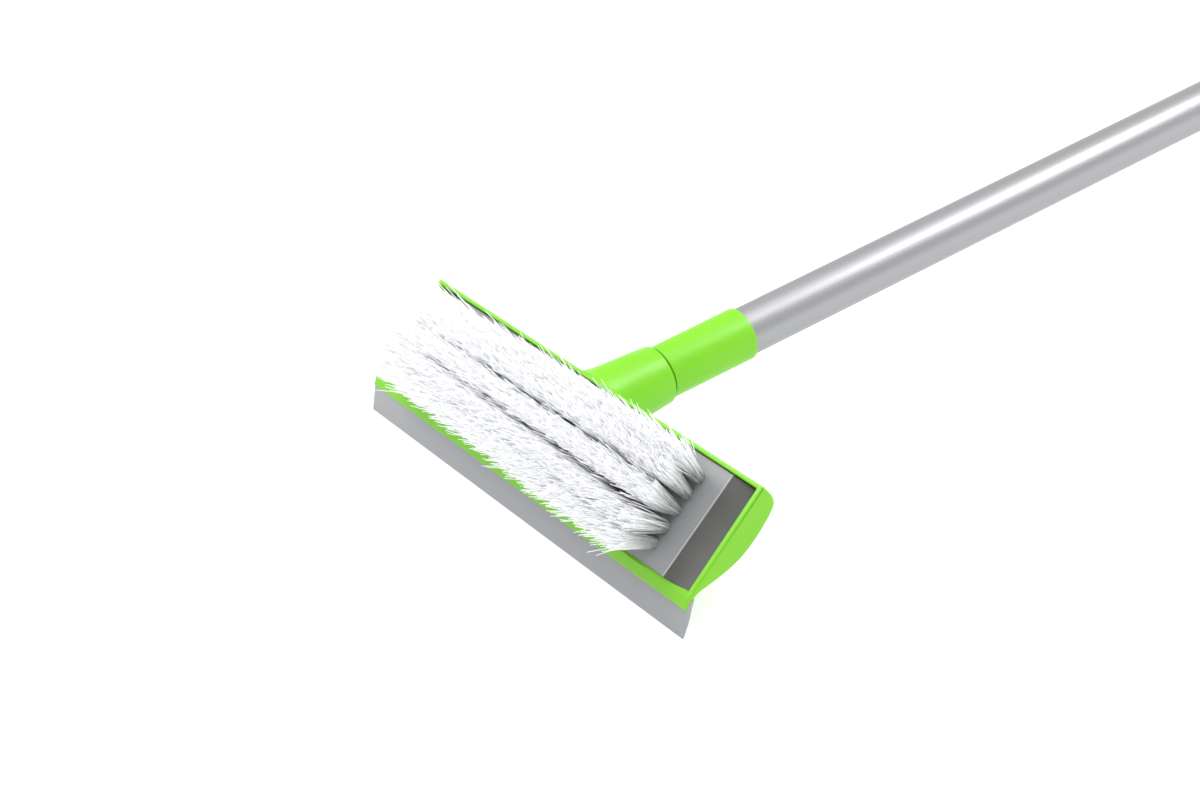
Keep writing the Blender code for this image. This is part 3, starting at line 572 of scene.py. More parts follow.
def grown(outline, distance):
    """A closed outline moved outward: each corner goes along the sum of its sides' normals."""
    ahead = np.roll(outline, -1, 0) - outline
    ahead /= np.linalg.norm(ahead, axis=1, keepdims=True)
    normal = np.stack([ahead[:, 1], -ahead[:, 0]], -1) * winding(outline)
    before = np.roll(normal, 1, 0)
    share = 1 + np.sum(normal * before, axis=1, keepdims=True)
    return outline + distance * (normal + before) / share


def bar_mesh(name, outline, half_length):
    """An outline in (w, n) carried along the head, with flat ends."""
    return solid(name, [section_points(x, outline) for x in (-half_length, half_length)])


# %% Screw seats in the back
SCREW_SEAT = 12.6 * MM
SEAT_RADIUS, SEAT_MOUTH, SHANK_RADIUS = 3.6 * MM, 3.9 * MM, 1.8 * MM
SCREW_PLACES = [(x, share * RIM_WIDTH) for x in (-70 * MM, 70 * MM) for share in (0.38, 0.80)]


def seat_cutter(number, x, w):
    """A round counterbore from the back for a screw's head, and the hole for its shank."""
    angle = np.linspace(0, 2 * np.pi, 48, endpoint=False)
    levels = [(SEAT_MOUTH, -22 * MM), (SEAT_RADIUS, -15 * MM), (SEAT_RADIUS, -SCREW_SEAT),
              (SHANK_RADIUS, -SCREW_SEAT), (SHANK_RADIUS, -4 * MM)]
    radius, depth = np.array(levels)[:, :1], np.array(levels)[:, 1:]
    points = head_points(x + radius * np.cos(angle), w + radius * np.sin(angle),
                         depth + 0 * angle)
    return solid(f"seat_{number}", points)


# %% Make the housing
half = HEAD_LENGTH / 2
tools = [
    (neck_mesh(), "UNION"),
    (tub_cutter(), "DIFFERENCE"),
    (bar_mesh("blade_slot", grown(BLADE_LINE, 0.15 * MM), half + MM), "DIFFERENCE"),
    (neck_bore(), "DIFFERENCE"),
]
tools += [(seat_cutter(i, x, w), "DIFFERENCE") for i, (x, w) in enumerate(SCREW_PLACES)]
housing = combine(housing_body(), tools)
add_piece(housing, "head", lime_plastic, ["head_housing"], sharp=32)

# %% [markdown]
# ## The brush block
#
# The block fills the tub. Its face is flat where the bristles stand and slopes down to both ends,
# with a crisp edge in between. It is made as a height over a grid:
# the face's tilt, minus the slope, minus a quarter circle round the outside. The grid's lines
# crowd together at the edges, where the height changes fast. Two attributes on the mesh say
# where the colour has painted shade on the slopes and a painted highlight along the edge.

# %% Grey moulded plastic
block_plastic = moulded_plastic("block_plastic", (0.36, 0.363, 0.375), 0.42, drift=0.04)


def tint_where(material, attribute, colour):
    """Change a plastic's colour to another where the mesh's attribute is one."""
    tree = material.node_tree
    shader = tree.nodes["Principled BSDF"]
    before = shader.inputs["Base Color"].links[0].from_socket
    where = add_node(tree, "ShaderNodeAttribute", attribute_name=attribute).outputs["Fac"]
    blend(tree, where, before, colour, shader.inputs["Base Color"])


# painted shade: the end slopes are tinted dark where they turn away from the light
tint_where(block_plastic, "end_slope", (0.110, 0.111, 0.106))
# painted highlight: a pale band along the crest stands in for its glint
tint_where(block_plastic, "painted_crest_highlight", (0.60, 0.60, 0.60))

# %% Make the brush block
FACE_HALF = 101 * MM
FACE_NEAR, FACE_FAR = 0.6 * MM, 2.0 * MM
SLOPE_NEAR, SLOPE_FAR = 1.1 * MM, 4.5 * MM
BLOCK_SIDE = 0.9 * MM
NEAR_GAP, FAR_GAP = 0.7 * MM, 0.35 * MM
CREST_ROUNDING = 0.25 * MM
BEAD_HEIGHT, BEAD_WIDTH = 0.22 * MM, 0.45 * MM
# width of the painted crest highlight, and of the fade into the painted slope shade
SHADE_AND_HIGHLIGHT_WIDTH = 0.3 * MM


def share_across(w):
    """How far across the tub a place is: 0 at the near wall, 1 at the far wall."""
    return (w - NEAR_WALL) / (RIM_WIDTH - FAR_WALL - NEAR_WALL)


def face_height(w):
    """Height of the block's face across the head, falling evenly from near to far."""
    return -(FACE_NEAR + (FACE_FAR - FACE_NEAR) * share_across(w))


def block_height(x, w, half_length):
    """The face minus the end slopes, plus a thin bead along the crest.

    The crest is rounded: the slope goes by (d + the root of d squared + c squared) / 2 at the
    distance d past the crest.
    """
    fall = SLOPE_NEAR + (SLOPE_FAR - SLOPE_NEAR) * share_across(w)
    fall = fall / (half_length - FACE_HALF)
    beyond = np.abs(x) - FACE_HALF
    ramp = (beyond + np.sqrt(beyond ** 2 + CREST_ROUNDING ** 2)) / 2
    bead = BEAD_HEIGHT * np.exp(-(beyond / BEAD_WIDTH) ** 2)
    return face_height(w) - fall * ramp + bead


def block_mesh():
    """The height field with a rounded outer edge, closed by straight sides and a flat bottom."""
    half_length = HEAD_LENGTH / 2 - END_WALL - BLOCK_SIDE
    low, high = NEAR_WALL + NEAR_GAP, RIM_WIDTH - FAR_WALL - FAR_GAP
    soft = 0.45 * MM
    arc = soft * (1 - np.cos(np.linspace(0, np.pi / 2, 6)))
    crest = FACE_HALF + np.linspace(-1.5, 1.5, 21) * MM
    right = np.concatenate([np.linspace(0, FACE_HALF - 2 * MM, 18), crest,
                            np.linspace(FACE_HALF + 2 * MM, half_length - soft - MM, 6),
                            half_length - arc[::-1]])
    x = np.concatenate([-right[:0:-1], right])
    w = np.concatenate([low + arc, np.linspace(low + soft + MM, high - soft - MM, 22),
                        high - arc[::-1]])
    grid_x, grid_w = np.meshgrid(x, w, indexing="ij")
    edge = np.minimum(half_length - np.abs(grid_x), np.minimum(grid_w - low, high - grid_w))
    inside = np.clip(edge, 0, soft)
    height = block_height(grid_x, grid_w, half_length)
    height -= soft - np.sqrt(soft ** 2 - (soft - inside) ** 2)
    top = head_points(grid_x, grid_w, height)
    mesh = grid_mesh("brush_block_face", top, ring_columns=False)
    work = bmesh.new()
    work.from_mesh(mesh)
    rim = [edge for edge in work.edges if edge.is_boundary]
    skirt = bmesh.ops.extrude_edge_only(work, edges=rim)
    down = [item for item in skirt["geom"] if isinstance(item, bmesh.types.BMVert)]
    bmesh.ops.translate(work, verts=down, vec=Vector(-BLOCK_SIDE * out_of_brush))
    bottom = [item for item in skirt["geom"] if isinstance(item, bmesh.types.BMEdge)]
    bmesh.ops.edgeloop_fill(work, edges=bottom)
    bmesh.ops.recalc_face_normals(work, faces=work.faces)
    work.to_mesh(mesh)
    work.free()
    place = np.empty(len(mesh.vertices) * 3)
    mesh.vertices.foreach_get("co", place)
    beyond = np.abs(place[::3]) - FACE_HALF
    # painted shade on the end slopes and a painted highlight along the crest
    add_attribute(mesh, "end_slope", np.clip((beyond - SHADE_AND_HIGHLIGHT_WIDTH) / SHADE_AND_HIGHLIGHT_WIDTH, 0, 1))
    add_attribute(mesh, "painted_crest_highlight", np.exp(-(beyond / SHADE_AND_HIGHLIGHT_WIDTH) ** 2))
    return mesh


add_piece(block_mesh(), "head", block_plastic, ["brush_block"], sharp=40)

# %% [markdown]
# ## The bristles
#
# A washing brush has tufts of plastic filament, each folded double and stapled into a hole. A tuft
# is tight at its foot and fans out to its tips, the rows lean away from the middle, and use has
# splayed the tufts at both ends. Hair curves would look right but export as nothing, so each
# filament is a thin three-sided spike with a slight bend. A tuft is too dense to see into, so a
# slim solid core stands for its inner filaments. Seeded random numbers give the same brush on
# every run.

# %% Bristle finish
def filament_material():
    """White plastic filament: a shade per filament, and light that passes through it.

    The foot is painted a little greyer, as painted shade deep in the tufts. Light that wanders
    between thousands of clear filaments is lost when a path is cut short, so a painted glow
    towards the tips puts it back.
    """
    material, tree, shader = new_material("bristle_filament", {
        "Subsurface Weight": 0.6, "Subsurface Radius": (1.0, 1.0, 1.0),
        "Subsurface Scale": 1.5 * MM, "Emission Color": (0.95, 0.97, 1.0, 1.0)})
    shade = add_node(tree, "ShaderNodeAttribute", attribute_name="shade").outputs["Fac"]
    reach = add_node(tree, "ShaderNodeAttribute", attribute_name="reach").outputs["Fac"]
    white = blend(tree, shade, (0.88, 0.89, 0.91), (0.97, 0.97, 0.98))
    # painted shade: the filaments darken towards the foot
    blend(tree, reach, (0.76, 0.76, 0.78), white, shader.inputs["Base Color"])
    # painted glow towards the tips
    spread(tree, reach, 0.0, 0.16, shader.inputs["Emission Strength"], start=0.35)
    spread(tree, noise(tree, 700.0), 0.34, 0.5, shader.inputs["Roughness"])
    return material


filament = filament_material()

# %% Filaments of one row
ROW_PITCH = 7.8 * MM
ROW_HALF = 87 * MM
ROW_LEANS = np.radians([-12.5, -9.0, 0.0, 7.5, 6.5])
LEAN_GROWTH = np.array([0.3, 0.3, 0.3, 0.3, 0.6])
TUFTS = 27
FILAMENTS = 100
TUFT_RADIUS = 2.5 * MM
TIP_RADIUS = 4.5 * MM
LEFT_FAN, RIGHT_FAN = 15 * MM, 5 * MM
LEFT_SPLAY = 0.35
BRISTLE_LENGTH = 28.0 * MM
CORE_SIDES, HAIR_SIDES = 12, 3
CORE_HEIGHTS = np.array([0.0, 0.25, 0.5, 0.7, 0.8])
CORE_RADIUS = np.array([2.2, 2.6, 3.0, 2.7, 1.2]) * MM
HAIR_HEIGHTS = np.array([0.0, 0.3, 0.6, 0.85, 1.0])
HAIR_RADIUS = np.array([0.26, 0.27, 0.26, 0.22, 0.13]) * MM
WILD_SHARE, WILD_SCATTER = 0.05, 2.5
STRAY_SHARE, STRAY_SCATTER = 0.16, 1.8
TIP_SCATTER = np.array([1.3, 1.1, 0.6]) * MM
BEND_SCATTER = np.array([0.5, 0.5, 0.0]) * MM
rng = np.random.default_rng(7)


def tuft_lines(feet_x, disc, number):
    """Foot and tip of fibres that stand in tufts at feet_x, at places on a unit disc.

    Feet fill a small disc at each tuft and tips a wider one. The tips move across with the
    row's lean, which grows evenly from the left end to the right, and along with the fan, which
    grows as the fourth power towards the row's ends. The worn tufts at the left are wider too.
    """
    foot_w = RIM_WIDTH / 2 + (number - 2) * ROW_PITCH
    ground = face_height(foot_w)
    along = feet_x / ROW_HALF
    lean = ROW_LEANS[number] * (1 + LEAN_GROWTH[number] * along)
    fan = np.where(along < 0, -LEFT_FAN, RIGHT_FAN) * along ** 4
    foot = np.stack([feet_x + TUFT_RADIUS * disc[:, 0], foot_w + TUFT_RADIUS * disc[:, 1],
                     np.full(len(feet_x), ground - 0.3 * MM)], -1)
    drop = 1 - 0.06 * np.sum(disc ** 2, axis=1) - 0.5 * (fan / BRISTLE_LENGTH) ** 2
    tip_radius = TIP_RADIUS * (1 + LEFT_SPLAY * np.clip(-along, 0, 1) ** 4)
    tip = np.stack([feet_x + tip_radius * disc[:, 0] + fan,
                    foot_w + BRISTLE_LENGTH * np.sin(lean) + tip_radius * disc[:, 1],
                    ground + BRISTLE_LENGTH * np.cos(lean) * drop], -1)
    return foot, tip


def spikes(foot, tip, bend, heights, radius, sides, turn):
    """Rings of points round bent lines: (lines, heights, sides, 3) in the head's directions.

    A line is foot + (tip - foot) t, plus its bend times 4 (t - t squared).
    """
    t = heights[None, :, None]
    centre = foot[:, None] + (tip - foot)[:, None] * t + bend[:, None] * (t - t ** 2) * 4
    angle = turn[:, None, None] + np.arange(sides) * 2 * np.pi / sides
    ring = np.stack([np.cos(angle), np.sin(angle), 0 * angle], -1)
    return centre[:, :, None] + radius[None, :, None, None] * ring


def spike_faces(count, levels, sides, first=0):
    """Side faces of the spikes and the flat faces that close their two ends."""
    base = first + (np.arange(count) * levels * sides)[:, None, None]
    level = (np.arange(levels - 1) * sides)[None, :, None]
    side = np.arange(sides)[None, None, :]
    after = (side + 1) % sides
    quads = np.stack([base + level + side, base + level + after,
                      base + level + sides + after, base + level + sides + side], -1)
    low = base[:, 0] + np.arange(sides)[::-1]
    high = base[:, 0] + (levels - 1) * sides + np.arange(sides)
    return quads.reshape(-1, 4).tolist() + low.tolist() + high.tolist()


def bristle_row(number, name):
    """A row of tufts: a slim solid core in each, and the filaments round and over it.

    A few filaments are strays, whose tips are scattered further than the others.
    """
    tufts = np.linspace(-ROW_HALF, ROW_HALF, TUFTS)
    foot, tip = tuft_lines(tufts, np.zeros((TUFTS, 2)), number)
    cores = spikes(foot, tip, np.zeros((TUFTS, 3)), CORE_HEIGHTS, CORE_RADIUS, CORE_SIDES,
                   np.zeros(TUFTS))
    count = TUFTS * FILAMENTS
    away = rng.random(count) ** 0.4
    angle = rng.random(count) * 2 * np.pi
    disc = np.stack([away * np.cos(angle), away * np.sin(angle)], -1)
    foot, tip = tuft_lines(np.repeat(tufts, FILAMENTS), disc, number)
    wild = rng.random(count)[:, None]
    stray = np.where(wild < WILD_SHARE, WILD_SCATTER,
                     np.where(wild < STRAY_SHARE, STRAY_SCATTER, 1.0))
    tip += rng.normal(size=(count, 3)) * TIP_SCATTER * stray
    bend = rng.normal(size=(count, 3)) * BEND_SCATTER
    hairs = spikes(foot, tip, bend, HAIR_HEIGHTS, HAIR_RADIUS, HAIR_SIDES,
                   rng.random(count) * 2 * np.pi)
    core_points = TUFTS * len(CORE_HEIGHTS) * CORE_SIDES
    faces = spike_faces(TUFTS, len(CORE_HEIGHTS), CORE_SIDES)
    faces += spike_faces(count, len(HAIR_HEIGHTS), HAIR_SIDES, first=core_points)
    mesh = bpy.data.meshes.new(name)
    local = np.concatenate([cores.reshape(-1, 3), hairs.reshape(-1, 3)])
    mesh.from_pydata(head_points(*local.T), [], faces)
    shade = np.repeat(rng.random(count), len(HAIR_HEIGHTS) * HAIR_SIDES)
    add_attribute(mesh, "shade", np.concatenate([np.full(core_points, 0.8), shade]))
    core_reach = np.tile(np.repeat(CORE_HEIGHTS, CORE_SIDES), TUFTS)
    hair_reach = np.tile(np.repeat(HAIR_HEIGHTS, HAIR_SIDES), count)
    add_attribute(mesh, "reach", np.concatenate([core_reach, hair_reach]))
    return mesh


for number in range(5):
    row = bristle_row(number, f"filaments_{number + 1}")
    add_piece(row, "head", filament, [f"bristle_row_{number + 1}"], sharp=180)

# %% [markdown]
# ## The rubber blade
#
# The blade is a soft grey strip that thins to its wiping edge. Moulded rubber is matt with a
# fine grain. Its ends are cut square, and only the moulded edges are slightly round.

# %% Rubber
blade_rubber = moulded_plastic("blade_rubber", (0.35, 0.36, 0.375), 0.55, drift=0.03,
                               grain=1500.0, relief=0.03)


def blade_mesh():
    """The blade's outline with softened corners, and ends whose edges are eased by an inset."""
    outline = rounded(BLADE_LINE, np.array([0.15, 0, 0.3, 0.3, 0, 2.0, 0.15]) * MM)
    half_length = HEAD_LENGTH / 2
    ease = 0.25 * MM
    steps = [(half_length, -ease), (half_length - 0.3 * ease, -0.3 * ease),
             (half_length - ease, 0.0)]
    steps += [(-x, inset) for x, inset in reversed(steps)]
    return solid("rubber_blade", [section_points(x, grown(outline, inset)) for x, inset in steps])


add_piece(blade_mesh(), "head", blade_rubber, ["squeegee_blade"], sharp=35)

# %% [markdown]
# ## The collar
#
# The collar sleeves the pole tube, plugs it from inside and screws into the neck with a coarse
# right-hand thread. It is a turned moulding, and the thread is a relief on the turned surface: at
# each place and angle it asks how far the nearest turn of the ridge is. A narrow groove beside
# the neck keeps the two mouldings from rubbing and shows as a dark seam. The far end is well
# rounded, and the light draws a bright ring on it.

# %% Make the collar
COLLAR_RADIUS = 12.05 * MM
COLLAR_END = NECK_END + 45.5 * MM
COLLAR_WEB = 6 * MM
TUBE_RADIUS = 11.0 * MM
TUBE_WALL = 0.9 * MM
SHOULDER = NECK_END - 2.6 * MM
SPIGOT_TIP = SHOULDER - 22 * MM
SPIGOT_RADIUS = COLLAR_RADIUS - 3.65 * MM
SPIGOT_BORE = 5.5 * MM
PLUG_LENGTH = 24 * MM
THREAD_HEIGHT = 1.4 * MM
THREAD_PITCH = 5 * MM
THREAD_TURNS = 3
THREAD_START = SPIGOT_TIP + 2.3 * MM
THREAD_ROOT, THREAD_CREST = 1.3 * MM, 0.6 * MM


def thread_height(place, angle):
    """Height of the thread's ridge at places along the pole and angles round it.

    The ridge's middle climbs one pitch a turn. Its flanks fall evenly from the crest's half
    width to the root's, and its two ends run out over a quarter turn.
    """
    turns = -angle / (2 * np.pi)
    turns = turns + np.round((place - THREAD_START) / THREAD_PITCH - turns)
    away = np.abs(place - THREAD_START - THREAD_PITCH * turns)
    flank = np.clip((THREAD_ROOT - away) / (THREAD_ROOT - THREAD_CREST), 0, 1)
    ends = np.clip(4 * turns, 0, 1) * np.clip(4 * (THREAD_TURNS - turns), 0, 1)
    return THREAD_HEIGHT * flank * ends


def collar_mesh(sides=120):
    """The collar's closed profile: sleeve, seam, shoulder, threaded spigot, bore and plug."""
    seam, groove = NECK_END + 1.2 * MM, COLLAR_RADIUS - 0.8 * MM
    socket, plug = TUBE_RADIUS + 0.15 * MM, TUBE_RADIUS - TUBE_WALL - 0.25 * MM
    web = NECK_END + COLLAR_WEB - 0.25 * MM
    sleeve = [(socket, web), (socket, COLLAR_END - 0.2 * MM), (TUBE_RADIUS + 0.5 * MM, COLLAR_END),
              (COLLAR_RADIUS + 0.15 * MM, COLLAR_END),
              (COLLAR_RADIUS + 0.1 * MM, COLLAR_END - 3 * MM),
              (COLLAR_RADIUS, seam), (groove, seam - 0.1 * MM), (groove, SHOULDER),
              (SPIGOT_RADIUS, SHOULDER)]
    radii = np.array([0, 0, 0, 0.6, 4.0, 0.3, 0, 0.3, 0]) * MM
    sleeve = rounded(sleeve, radii, closed=False)
    side = np.linspace(SHOULDER - 0.5 * MM, SPIGOT_TIP + MM, 84)
    spigot = np.stack([np.full(len(side), SPIGOT_RADIUS), side], -1)
    inside = [(SPIGOT_RADIUS - MM, SPIGOT_TIP), (SPIGOT_BORE, SPIGOT_TIP),
              (SPIGOT_BORE, web + PLUG_LENGTH), (plug - MM, web + PLUG_LENGTH),
              (plug, web + PLUG_LENGTH - 2 * MM), (plug, web)]
    profile = np.vstack([sleeve, spigot, inside])
    angle = np.linspace(0, 2 * np.pi, sides, endpoint=False)
    threaded = (profile[:, 0] == SPIGOT_RADIUS) & (profile[:, 1] < SHOULDER)
    ridge = thread_height(profile[:, 1:], angle) * threaded[:, None]
    return turned_mesh("collar", profile, sides, closed=True, relief=-ridge)


add_piece(collar_mesh(), "pole_lower", lime_plastic, ["pole_connector"])

# %% [markdown]
# ## The pole
#
# Both tubes are painted silver-grey over metal. The paint has fine flakes that break up the
# reflection, so the long highlight is soft and not a mirror's.

# %% Silver paint
def silver_paint(name, colour):
    """Metallic paint: flakes as a fine noise in colour and bump, and long faint draw marks."""
    material, tree, shader = new_material(name, {"Metallic": 0.65})
    flakes = noise(tree, 2600.0, 1.0)
    marks = noise(tree, 1.0, stretch=(900.0, 6.0, 900.0))
    blend(tree, flakes, scaled(colour, 0.9), scaled(colour, 1.08), shader.inputs["Base Color"])
    spread(tree, marks, 0.34, 0.46, shader.inputs["Roughness"])
    emboss(tree, flakes, 0.25, 0.01 * MM, shader)
    return material


silver = silver_paint("silver_paint", (0.38, 0.38, 0.395))

# %% Make the two tubes
INNER_START = NECK_END + COLLAR_WEB
INNER_END = INNER_START + 520 * MM
NUT_FRONT = COLLAR_END + 310 * MM
OUTER_TUBE_RADIUS = 12.5 * MM
OUTER_START = NUT_FRONT + 19.25 * MM
OUTER_END = OUTER_START + 455 * MM
GROOVE_PLACE = OUTER_START + 60 * MM
GROOVE_DEPTH = 0.45 * MM
GROOVE_HALF = 2 * MM


def tube_mesh(name, radius, start, end, groove=None):
    """A tube's wall as a closed profile with softened rims, and a rolled groove if it has one.

    The groove is as deep as a squared cosine makes it at each place, on both sides of the wall.
    """
    inner = radius - TUBE_WALL
    outside = [(radius, end), (radius, start)]
    inside = [(inner, start), (inner, end)]
    radii = np.array([0.3, 0.3, 0.2, 0.2]) * MM
    profile = rounded(outside + inside, radii, steps=3)
    if groove is not None:
        step = np.linspace(-1, 1, 13)
        dent = GROOVE_DEPTH * np.cos(step * np.pi / 2) ** 2
        place = groove + step * GROOVE_HALF
        split = len(profile) // 4
        outer_dent = np.stack([radius - dent, place], -1)[::-1]
        inner_dent = np.stack([inner - dent, place], -1)
        profile = np.vstack([profile[:split], outer_dent, profile[split:3 * split],
                             inner_dent, profile[3 * split:]])
    return turned_mesh(name, profile, closed=True)


inner = tube_mesh("inner_pole_tube", TUBE_RADIUS, INNER_START, INNER_END)
add_piece(inner, "pole_lower", silver, ["inner_tube"])
outer = tube_mesh("outer_pole_tube", OUTER_TUBE_RADIUS, OUTER_START, OUTER_END, GROOVE_PLACE)
add_piece(outer, "pole_upper", silver, ["outer_tube"])

# %% [markdown]
# ## The twist lock
#
# Turning the fluted nut squeezes a split collet on the inner tube. The flutes give the fingers a
# hold and run out before both ends of the nut. They are a relief that is taken off the turned
# surface: a row of cosine waves round the nut, faded along it. The collet is hidden but for its
# rear edge, so the CAD solid does and gets a finish of its own.

# %% Make the lock nut
NUT_LENGTH = 40 * MM
NUT_RADIUS = 17 * MM
FLUTES = 12
FLUTE_DEPTH = 0.75 * MM
NUT_FRONT_WALL = 2.5 * MM


def nut_mesh():
    """The nut's closed profile with rounded rims, and flutes sunk into its outer side.

    A flute is half a cosine wave deep, sharpened by a power, and fades in and out along the nut
    as the smooth step three t squared minus two t cubed.
    """
    back = NUT_FRONT + NUT_LENGTH
    bore, mouth = OUTER_TUBE_RADIUS + 2.05 * MM, TUBE_RADIUS + 0.4 * MM
    side = np.linspace(back - 3 * MM, NUT_FRONT + 4 * MM, 26)
    corners = rounded([(bore, back - 5 * MM), (bore, back), (NUT_RADIUS, back),
                       (NUT_RADIUS, back - 4 * MM)], np.array([0, 0.3, 1.6, 0]) * MM,
                      closed=False)[:-1]
    front = rounded([(NUT_RADIUS, NUT_FRONT + 4 * MM), (NUT_RADIUS - 0.9 * MM, NUT_FRONT),
                     (mouth, NUT_FRONT), (mouth, NUT_FRONT + NUT_FRONT_WALL)],
                    np.array([0, 1.4, 0.4, 0]) * MM, closed=False)[1:]
    body = np.stack([np.full(len(side), NUT_RADIUS), side], -1)
    profile = np.vstack([corners, body, front, [(bore, NUT_FRONT + NUT_FRONT_WALL)]])
    along = np.clip((profile[:, 1] - NUT_FRONT - 3 * MM) / (5 * MM), 0, 1)
    along = np.minimum(along, np.clip((back - 2.5 * MM - profile[:, 1]) / (5 * MM), 0, 1))
    fade = (3 * along ** 2 - 2 * along ** 3) * (profile[:, 0] > NUT_RADIUS - 0.1 * MM)
    angle = np.linspace(0, 2 * np.pi, 192, endpoint=False)
    wave = (0.5 - 0.5 * np.cos(FLUTES * angle)) ** 1.5
    relief = FLUTE_DEPTH * fade[:, None] * wave
    return turned_mesh("twist_nut", profile, sides=192, closed=True, relief=relief)


add_piece(nut_mesh(), "twist_nut", lime_plastic, ["lock_nut"])

# %% [markdown]
# ## The grip
#
# A soft sleeve with raised rings keeps wet hands from slipping. It is turned, with each ring as
# one smooth hump, and closed at both ends by rounded lips. Its rubber is darker than the
# blade's and has a leathery grain.

# %% Make the grip
GRIP_END = OUTER_END
GRIP_LENGTH = 125 * MM
GRIP_RADIUS = OUTER_TUBE_RADIUS + 2.35 * MM
GRIP_RINGS = 9
RING_HEIGHT = 0.7 * MM
grip_rubber = moulded_plastic("grip_rubber", (0.30, 0.305, 0.32), 0.62, drift=0.05,
                              grain=1400.0, relief=0.08)


def grip_mesh():
    """The sleeve: outer radius plus, for each ring, a hump of sine to the fourth power."""
    start = GRIP_END - GRIP_LENGTH
    side = np.linspace(GRIP_END - 3 * MM, start + 3 * MM, 260)
    pitch = (GRIP_LENGTH - 30 * MM) / GRIP_RINGS
    count = (GRIP_END - 15 * MM - side) / pitch
    ringed = (count > 0) & (count < GRIP_RINGS)
    hump = np.where(ringed, np.sin(np.pi * count) ** 4, 0) * RING_HEIGHT
    body = np.stack([GRIP_RADIUS + hump, side], -1)
    inner = OUTER_TUBE_RADIUS + 0.25 * MM
    top = rounded([(inner, GRIP_END - 2 * MM), (inner, GRIP_END), (GRIP_RADIUS, GRIP_END),
                   (GRIP_RADIUS, GRIP_END - 3 * MM)], np.array([0, 0.2, 1.2, 0]) * MM,
                  closed=False)[:-1]
    low = rounded([(GRIP_RADIUS, start + 3 * MM), (GRIP_RADIUS, start), (inner, start),
                   (inner, start + 2 * MM)], np.array([0, 1.2, 0.2, 0]) * MM, closed=False)[1:]
    return turned_mesh("grip_sleeve", np.vstack([top, body, low]), closed=True)


add_piece(grip_mesh(), "pole_upper", grip_rubber, ["grip"])

# %% [markdown]
# ## The end cap and the hanging eye
#
# The cap plugs the outer tube and holds the stem of a ring that swivels, so that the pole can
# hang from a hook. The cap is turned. The ring is turned round its own short axis, and a flared
# stem turned round the pole's axis is joined to it.

# %% Make the end cap
CAP_FRONT = OUTER_END + 0.25 * MM
CAP_RADIUS = 15.8 * MM
CAP_END = CAP_FRONT + 9 * MM
STEM_RADIUS = 3.0 * MM


def cap_mesh():
    """The cap's closed profile: a rounded outside, the plug in the tube and the stem's bore."""
    plug, room = OUTER_TUBE_RADIUS - 1.15 * MM, 8.0 * MM
    floor, deep = CAP_FRONT + 2 * MM, CAP_FRONT - 20 * MM
    bore = STEM_RADIUS + 0.2 * MM
    outline = [(bore, CAP_END), (CAP_RADIUS - 4 * MM, CAP_END),
               (CAP_RADIUS, CAP_END - 3 * MM), (CAP_RADIUS, CAP_FRONT), (plug, CAP_FRONT),
               (plug, deep), (room, deep), (room, floor), (bore, floor)]
    radii = np.array([0.4, 3.0, 2.0, 0.8, 0, 0.4, 0.4, 0, 0.2]) * MM
    return turned_mesh("pole_end_cap", rounded(outline, radii, steps=8), closed=True)


add_piece(cap_mesh(), "pole_upper", lime_plastic, ["end_cap"])

# %% Make the hanging eye
EYE_RADIUS = 12 * MM
EYE_HOLE_RADIUS = 6.5 * MM
EYE_HALF_THICKNESS = 2.5 * MM
STEM_START = CAP_END + 0.25 * MM
EYE_PLACE = STEM_START + EYE_RADIUS + MM


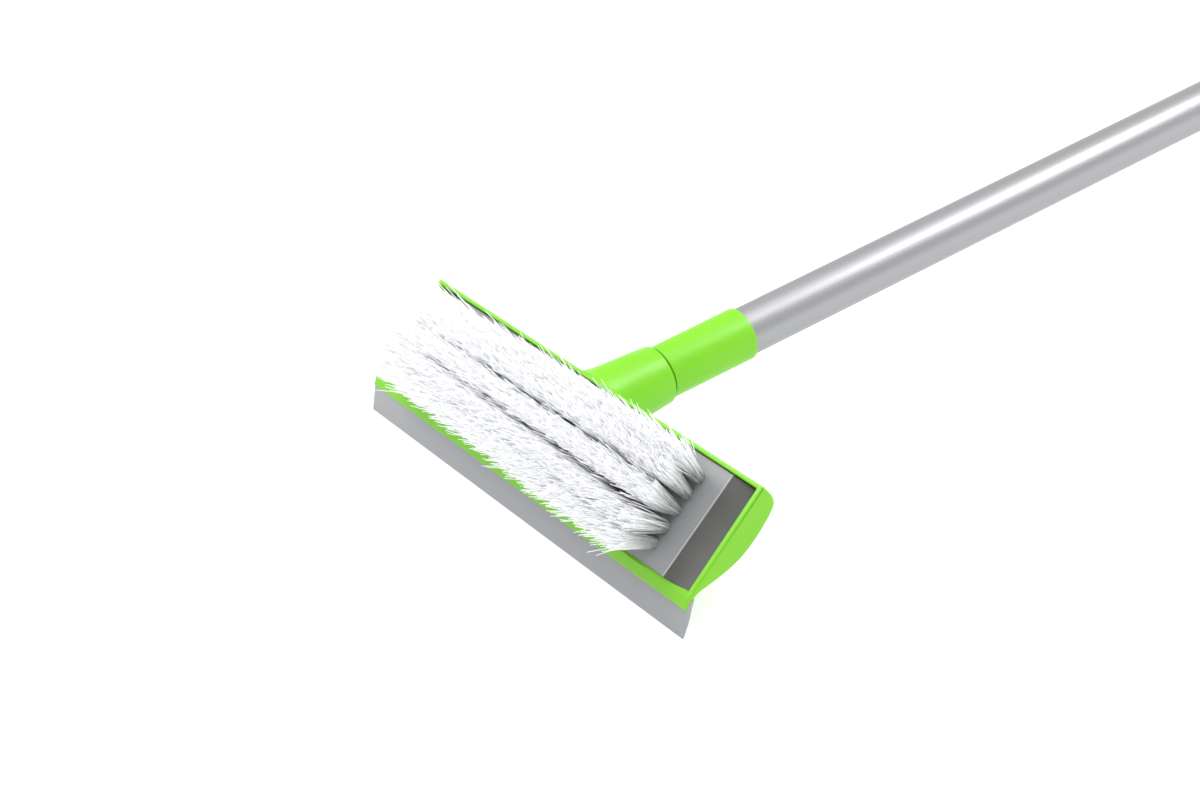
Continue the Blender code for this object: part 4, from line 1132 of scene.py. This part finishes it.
def eye_mesh():
    """The ring's rounded section turned round an upright axis, joined to the flared stem."""
    top, radii = EYE_HALF_THICKNESS, np.array([1.2, 1.0, 1.0, 1.2]) * MM
    section = rounded([(EYE_RADIUS, top), (EYE_HOLE_RADIUS, top), (EYE_HOLE_RADIUS, -top),
                       (EYE_RADIUS, -top)], radii)
    angle = np.linspace(0, 2 * np.pi, 96, endpoint=False)
    points = pole_points(section[:, :1] * np.cos(angle), EYE_PLACE + section[:, :1]
                         * np.sin(angle), section[:, 1:] + 0 * angle)
    ring = face_outwards(grid_mesh("swivel_eye_ring", points, ring_rows=True))
    tip, slim = CAP_FRONT - 1.2 * MM, STEM_RADIUS - 0.8 * MM
    groove_end = CAP_FRONT + 1.75 * MM
    groove_start = groove_end - 1.9 * MM
    flare = rounded([(3.6 * MM, STEM_START + 4.6 * MM), (5.6 * MM, STEM_START),
                     (STEM_RADIUS, STEM_START)], np.array([0, 0.6, 0]) * MM, closed=False)
    shank = [(STEM_RADIUS, groove_end), (slim, groove_end), (slim, groove_start),
             (STEM_RADIUS, groove_start), (STEM_RADIUS, tip + 0.5 * MM),
             (STEM_RADIUS - 0.5 * MM, tip)]
    stem = turned_mesh("stem", np.vstack([flare, shank]), sides=64)
    return combine(ring, [(stem, "UNION")])


add_piece(eye_mesh(), "swivel_eye", lime_plastic, ["hanging_eye"])

# %% [markdown]
# ## Small hardware
#
# Screws, the rivet, the spring clip, the washer, the guide bush and the collet are right as the
# CAD has them. They only get finishes. Turned steel shows fine marks and a slight drift in its
# gloss. The rubber washer and the dark nylon parts are moulded and get the moulded grain.

# %% Finishes for the hardware
def turned_steel(name, colour, roughness):
    """Zinc-plated steel: fine directional marks in the bump and a slow drift in its gloss."""
    material, tree, shader = new_material(name, {"Metallic": 1.0})
    slow = noise(tree, 260.0)
    marks = noise(tree, 1.0, 3.0, stretch=(2500.0, 300.0, 2500.0))
    blend(tree, slow, scaled(colour, 0.86), scaled(colour, 1.1), shader.inputs["Base Color"])
    spread(tree, slow, roughness - 0.08, roughness + 0.1, shader.inputs["Roughness"])
    emboss(tree, marks, 0.4, 0.01 * MM, shader)
    return material


steel = turned_steel("zinc_steel", (0.62, 0.62, 0.63), 0.3)
nylon = moulded_plastic("dark_nylon", (0.035, 0.036, 0.04), 0.45, drift=0.15, grain=1200.0)
washer_rubber = moulded_plastic("washer_rubber", (0.025, 0.025, 0.028), 0.65, drift=0.15,
                                grain=1600.0, relief=0.04)
finishes = {f"block_screw_{number}": steel for number in range(1, 5)}
finishes |= {"connector_rivet": steel, "eye_clip": steel, "seal_ring": washer_rubber,
             "tube_bush": nylon, "lock_collet": nylon}
for node, finish in finishes.items():
    for holder in frame["nodes"][node].material_slots:
        holder.material = finish
    print(node, "finished with", finish.name)
